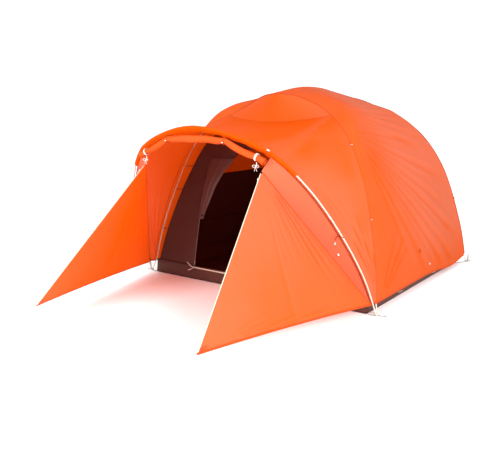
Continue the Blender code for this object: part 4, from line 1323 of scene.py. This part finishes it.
def dress_poles():
    """Painted poles with a metal ferrule over every joint between sections."""
    for name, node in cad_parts.items():
        if "pole" in name and "section" in name or name == "brow_pole":
            repaint(node, POLE)
            node.data.shade_smooth()
    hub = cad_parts["pole_hub"]
    repaint(hub, PLASTIC)
    hub.data.set_sharp_from_angle(angle=math.radians(40))
    ferrules = []
    for pole, count in (("main_pole_lower", 4), ("main_pole_upper", 4), ("hoop_pole", 5)):
        sections = [f"{pole}_section_{number}" for number in range(1, count + 1)]
        for first, second in zip(sections, sections[1:]):
            place, along = joint_between(first, second)
            line = [place + along * t for t in np.linspace(-0.030, 0.030, 9)]
            profile = [1.0, 1.22, 1.22, 1.18, 1.18, 1.18, 1.22, 1.22, 1.0]
            side = unit(np.cross(along, vec(0.3, 0.5, 0.81)))
            ferrules.append(swept("ferrule", line, round_section(POLE_RADIUS, 14), FERRULE,
                                  side=side, scale=profile))
    fit(joined("pole_ferrules", ferrules), "tent", "poles")


def joint_between(first, second):
    """Where two pole sections meet, and the direction of the pole there."""
    ends = [np.array([tuple(vert.co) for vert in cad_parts[name].data.vertices])
            for name in (first, second)]
    gaps = np.linalg.norm(ends[0][:, None] - ends[1][None], axis=2)
    spot = ends[0][np.argmin(gaps.min(axis=1))]
    near = [cloud[np.linalg.norm(cloud - spot, axis=1) < 0.02] for cloud in ends]
    middles = [cloud.mean(axis=0) for cloud in near]
    place = (middles[0] + middles[1]) / 2
    far = [cloud[np.linalg.norm(cloud - spot, axis=1) < 0.12].mean(axis=0) for cloud in ends]
    return place, unit(far[1] - far[0])


def pole_clips():
    """Hooks on short webbing that hang the inner tent from the main poles."""
    made = []
    for label, points in (("front", FRONT_LEG), ("rear", REAR_LEG)):
        for side in (-1, 1):
            cover = smooth_path(sided(points, side), 500)
            for height in (0.46, 0.88, 1.12, 1.50):
                outer = at_height(cover, height)
                inward = unit(outer - vec(0, 0, 0.25))
                pole = outer - inward * 0.026
                cloth = at_height(INNER_SEAMS[label, side], height - 0.012)
                strap = np.linspace(cloth, pole - inward * 0.010, 6)
                web = swept("web", strap, band_section(0.002, 0.006), DARK)
                around = np.linspace(-0.6, 4.1, 12)
                square = unit(np.cross(inward, UP))
                hook = [pole + (inward * math.cos(a) + square * math.sin(a)) * 0.0082
                        for a in around]
                grip = cord_piece("hook", hook, 0.0024, DARK, count=18)
                made += [web, grip]
    fit(joined("inner_clips", made), "tent", "plastic")


def corners():
    """Webbing, buckle, pole-tip grommet, stake loop and tail at each pole foot."""
    for side_x, side_y, name in ((-1, -1, "front_left"), (1, -1, "front_right"),
                                 (-1, 1, "rear_left"), (1, 1, "rear_right")):
        foot_x, foot_y = FRONT_FOOT if side_y < 0 else REAR_FOOT
        foot = vec(side_x * foot_x, foot_y, 0.0)
        corner = vec(side_x * FLOOR_WIDTH / 2, side_y * FLOOR_LENGTH / 2, 0.0)
        along = unit(foot - corner)
        across = vec(-along[1], along[0], 0.0)

        def at(a, c, z):
            return foot + along * a + across * c + UP * z

        line = smooth_path([corner + along * 0.012 + UP * 0.0016, at(0.01, 0, 0.0014),
                            at(0.075, 0, 0.0016)], 24)
        strap = swept(f"strap_{name}", line, band_section(0.020, 0.0022), GREY_WEB)
        ring = cord_piece(f"ring_{name}",
                          [at(0.070 + 0.011 * math.cos(a), 0.012 * math.sin(a), 0.0045)
                           for a in circle(25)], 0.0018, GREY_WEB, count=41, closed=True)
        tail = cord_piece(f"tail_{name}", [at(0.050, 0, 0.004), at(0.062, 0.022, 0.006),
                                           at(0.058, 0.055, 0.0025)], 0.0022, CORD, count=24)
        loop = cord_piece(f"loop_{name}", [at(0, 0.011, 0.030), at(0, 0.013, 0.012),
                                           at(0.004, 0, 0.0032), at(0, -0.013, 0.012),
                                           at(0, -0.011, 0.030)], 0.0020, CORD, count=30)
        tip = swept(f"pole_tip_{name}", [at(0, 0, z) for z in (0.0025, 0.006, 0.012, 0.024)],
                    round_section(0.0072, 16), PLASTIC, side=vec(0, 1, 0),
                    scale=[0.7, 1.0, 1.0, 0.92])
        straps = joined(f"corner_webbing_{name}", [strap, ring])
        fit(straps, "tent", "webbing", f"corner_strap_{name}")
        fit(joined(f"corner_cords_{name}", [tail, loop]), "tent", "cord")
        fit(tip, "tent", "plastic")
        buckle(name, along, across)


def buckle(name, along, across):
    """A side-release buckle: the socket with its side windows, and the pronged tongue."""
    def block(size, c, a, z, bevel, taper=1.0):
        return softened_block("block", size, centre + across * c + along * a + UP * z, UP, along,
                              PLASTIC, bevel, taper)

    centre = box_middle(f"buckle_{name}")
    shell = block((0.027, 0.0115, 0.0255), 0, 0, 0, 0.0028, 0.86)
    ribs = [block((0.004, 0.0030, 0.016), c, 0.0055, 0, 0.0009) for c in (-0.007, 0.0, 0.007)]
    fit(joined(f"buckle_socket_{name}", [shell, *ribs]), "tent", "plastic", f"buckle_{name}")
    centre = box_middle(f"buckle_tongue_{name}")
    plate = block((0.020, 0.0080, 0.011), 0, 0, 0.005, 0.0018, 0.85)
    prongs = [block((0.0042, 0.0060, 0.013), c, 0, -0.0042, 0.0012)
              for c in (-0.0072, 0.0, 0.0072)]
    web = swept("web", [centre + UP * z for z in (0.008, 0.016, 0.030, 0.046)],
                band_section(0.016, 0.0022), PLASTIC, side=along)
    tongue = joined(f"buckle_prongs_{name}", [plate, *prongs, web])
    fit(tongue, f"buckle_tongue_{name}", "plastic", f"buckle_tongue_{name}")


def guy_tab(name, place, out, loop=True):
    """A small sewn tab with a webbing loop, where a guy line could be tied on."""
    place, out = np.array(place), unit(out)
    down = unit(out * (UP @ out) - UP)
    across = np.cross(out, down)
    patch = swept(f"{name}_patch", [place + down * t + out * 0.003 for t in (-0.016, 0.0, 0.016)],
                  band_section(0.022, 0.0022), SEAM, side=out)
    fit(patch, "tent", "fly")
    if loop:
        points = [place + out * 0.004 + across * 0.005, place + out * 0.020 + across * 0.006,
                  place + out * 0.026 + down * 0.002, place + out * 0.020 - across * 0.006,
                  place + out * 0.004 - across * 0.005]
        ring = cord_piece(f"{name}_loop", points, 0.0022, CORD, count=26)
        fit(ring, "tent", "cord")


def guy_tabs():
    """Tie-out points on the ridges and hems, on both sides of the tent."""
    for side, label in SIDES:
        for number, height in enumerate((1.374, 0.765)):
            place = level_with(RIDGES[side][:LEG_ROWS], height)
            guy_tab(f"tab_front_{label}_{number + 1}", place, vec(side * 0.8, -0.6, 0.25))
        place = level_with(REAR_RIDGES[side][:LEG_ROWS], 0.73)
        guy_tab(f"tab_rear_{label}", place, vec(side * 0.75, 0.65, 0.1))
        guy_tab(f"tab_side_{label}", (side * 1.235, -0.03, 0.35), vec(side, 0, 0.15), loop=False)
        mark = softened_block(f"hem_toggle_{label}", (0.020, 0.006, 0.014),
                              (side * 1.262, 0.17, 0.19), vec(0, 0.4, 1), vec(side, 0, 0.1), PALE,
                              0.002)
        fit(mark, "tent", "plastic")
        hooks = []
        for y in (-0.53, 0.32, 0.86):
            start = vec(side * 1.272, y, 0.085)
            floor = vec(side * (FLOOR_WIDTH / 2 + 0.004), y + 0.01, 0.10)
            hooks.append(cord_piece("hook", [start, (start + floor) / 2 - vec(0, 0, 0.03), floor],
                                    0.0022, CORD, count=20))
        fit(joined(f"hem_cords_{label}", hooks), "tent", "cord")


def hoop_fittings():
    """Small straps between the hoop and the porch cloth, and the wing toggles."""
    for side, label in SIDES:
        leg = hoop_leg(side)
        pieces = []
        pale = []
        place = level_with(leg, 0.70)
        inward = unit(under_hoop(place) - place)
        square = unit(np.cross(inward, vec(0, 0.5, 1)))
        ring = [place + (inward * math.cos(a) + square * math.sin(a)) * 0.0078
                for a in circle(13)]
        pieces.append(cord_piece("wrap", ring, 0.0026, DARK_CORD_AND_POLE_SHADOW, count=25, closed=True))
        for pull in ((-0.028, -0.020, 0.012), (-0.050, -0.030, -0.020)):
            start, end = (place if pull[2] > 0 else end), place + vec(side * pull[0], *pull[1:])
            pieces.append(cord_piece("strap", [start, (start + end) / 2 + vec(0, -0.004, 0.004),
                                               end], 0.0030, DARK_CORD_AND_POLE_SHADOW, count=20))
        pale.append(softened_block("bar", (0.008, 0.007, 0.018), end - vec(0, 0, 0.030),
                                   vec(0.1, 0, 1), vec(side, -0.6, 0.2), PALE, 0.002))
        top, heel = wing_corners(side)[:2]
        fold = heel + (top - heel) * 0.40
        under = under_hoop(level_with(leg, fold[2]))
        spot = under + (fold - under) * 0.55 + vec(0, -0.010, 0)
        pale.append(softened_block("bar", (0.012, 0.006, 0.018), spot, vec(-side * 0.6, 0, 1),
                                   vec(side, -0.8, 0.2), PALE, 0.002))
        fit(joined(f"hoop_straps_{label}", pieces), "tent", "fly")
        fit(joined(f"hoop_toggles_{label}", pale), "tent", "plastic")
    pole_shadow_lines()


def pole_shadow_lines():
    """Painted shadow: a dark strip on the inner face of the porch cloth, under the hoop's legs,
    standing for the shadow of the pole seen through the cloth.
    """
    for side, label in SIDES:
        leg = resample(hoop_leg(side, HEM_HEIGHT + 0.01), 60)
        under = np.array([under_hoop(point, 0.0250) for point in leg])
        inward = np.array([unit(under_hoop(point) - point) for point in leg])
        tape = swept(f"porch_tape_{label}", under, band_section(0.015, 0.0024), DARK_CORD_AND_POLE_SHADOW, side=inward)
        fit(tape, "tent", "fly")


def sleeve_catches():
    """The pale clips on the sleeve over each wing, each with a thin cord."""
    for side, label in SIDES:
        index = int(np.argmin(np.abs(HOOP[:, 0] - side * 0.65)))
        place = HOOP[index]
        along = tangents(HOOP)[index] * side
        out = unit(place - under_hoop(place))
        clip = softened_block(f"sleeve_clip_{label}", (0.010, 0.008, 0.024),
                              place + out * 0.0155, along, out, PALE, 0.002)
        end = place + along * 0.085 - out * 0.028 + vec(0, -0.030, -0.03)
        cord = cord_piece(f"sleeve_cord_{label}",
                          [place + out * 0.015 + vec(0, -0.004, 0), place + along * 0.03
                           + vec(0, -0.026, -0.004), end], 0.0014, DARK_CORD_AND_POLE_SHADOW, count=24)
        fit(clip, "tent", "plastic")
        fit(cord, "tent", "cord")


# --- stage ---------------------------------------------------------------------------------

def stage():
    """A pale floor, soft light all round and a large soft key light."""
    build = bmesh.new()
    bmesh.ops.create_grid(build, x_segments=2, y_segments=2, size=400.0)
    material, tree = blank("studio_floor")
    colour = mixed(tree, noise(tree, 0.6, 3.0), (0.95, 0.95, 0.95, 1), (0.93, 0.93, 0.93, 1))
    surfaced(material, principled(tree, colour, 0.9, {"Specular IOR Level": 0.1}))
    floor = finish_mesh("studio_floor", build, material)
    floor.location.z = -0.0005
    world = bpy.data.worlds.new("studio")
    bpy.context.scene.world = world
    world.use_nodes = True
    world.node_tree.nodes["Background"].inputs["Color"].default_value = (1.0, 1.0, 1.0, 1.0)
    world.node_tree.nodes["Background"].inputs["Strength"].default_value = 1.30
    for name, place, target, size, power in (
            ("key", (6.5, -4.5, 3.4), (0.4, -0.4, 0.7), 2.2, 560.0),
            ("fill", (-1.5, -7.5, 2.8), (0.0, -1.2, 0.7), 3.0, 360.0)):
        data = bpy.data.lights.new(name, "AREA")
        data.size = size
        data.energy = power
        light = bpy.data.objects.new(name, data)
        light.location = place
        aim = Vector(target) - Vector(place)
        light.rotation_euler = aim.to_track_quat("-Z", "Y").to_euler()
        bpy.context.scene.collection.objects.link(light)
    bpy.context.scene.view_settings.view_transform = "Standard"


# --- build ---------------------------------------------------------------------------------

make_camera()
guy_cords()
fly = fly_canopy()
seams = fly_seams()
pole_sleeve()
roll = rolled_door()
roll_ties()
wings()
inner_front()
inner_walls()
canopy_net()
tub_floor()
inner_door()
door_zips()
dress_poles()
pole_clips()
corners()
guy_tabs()
hoop_fittings()
sleeve_catches()
stage()
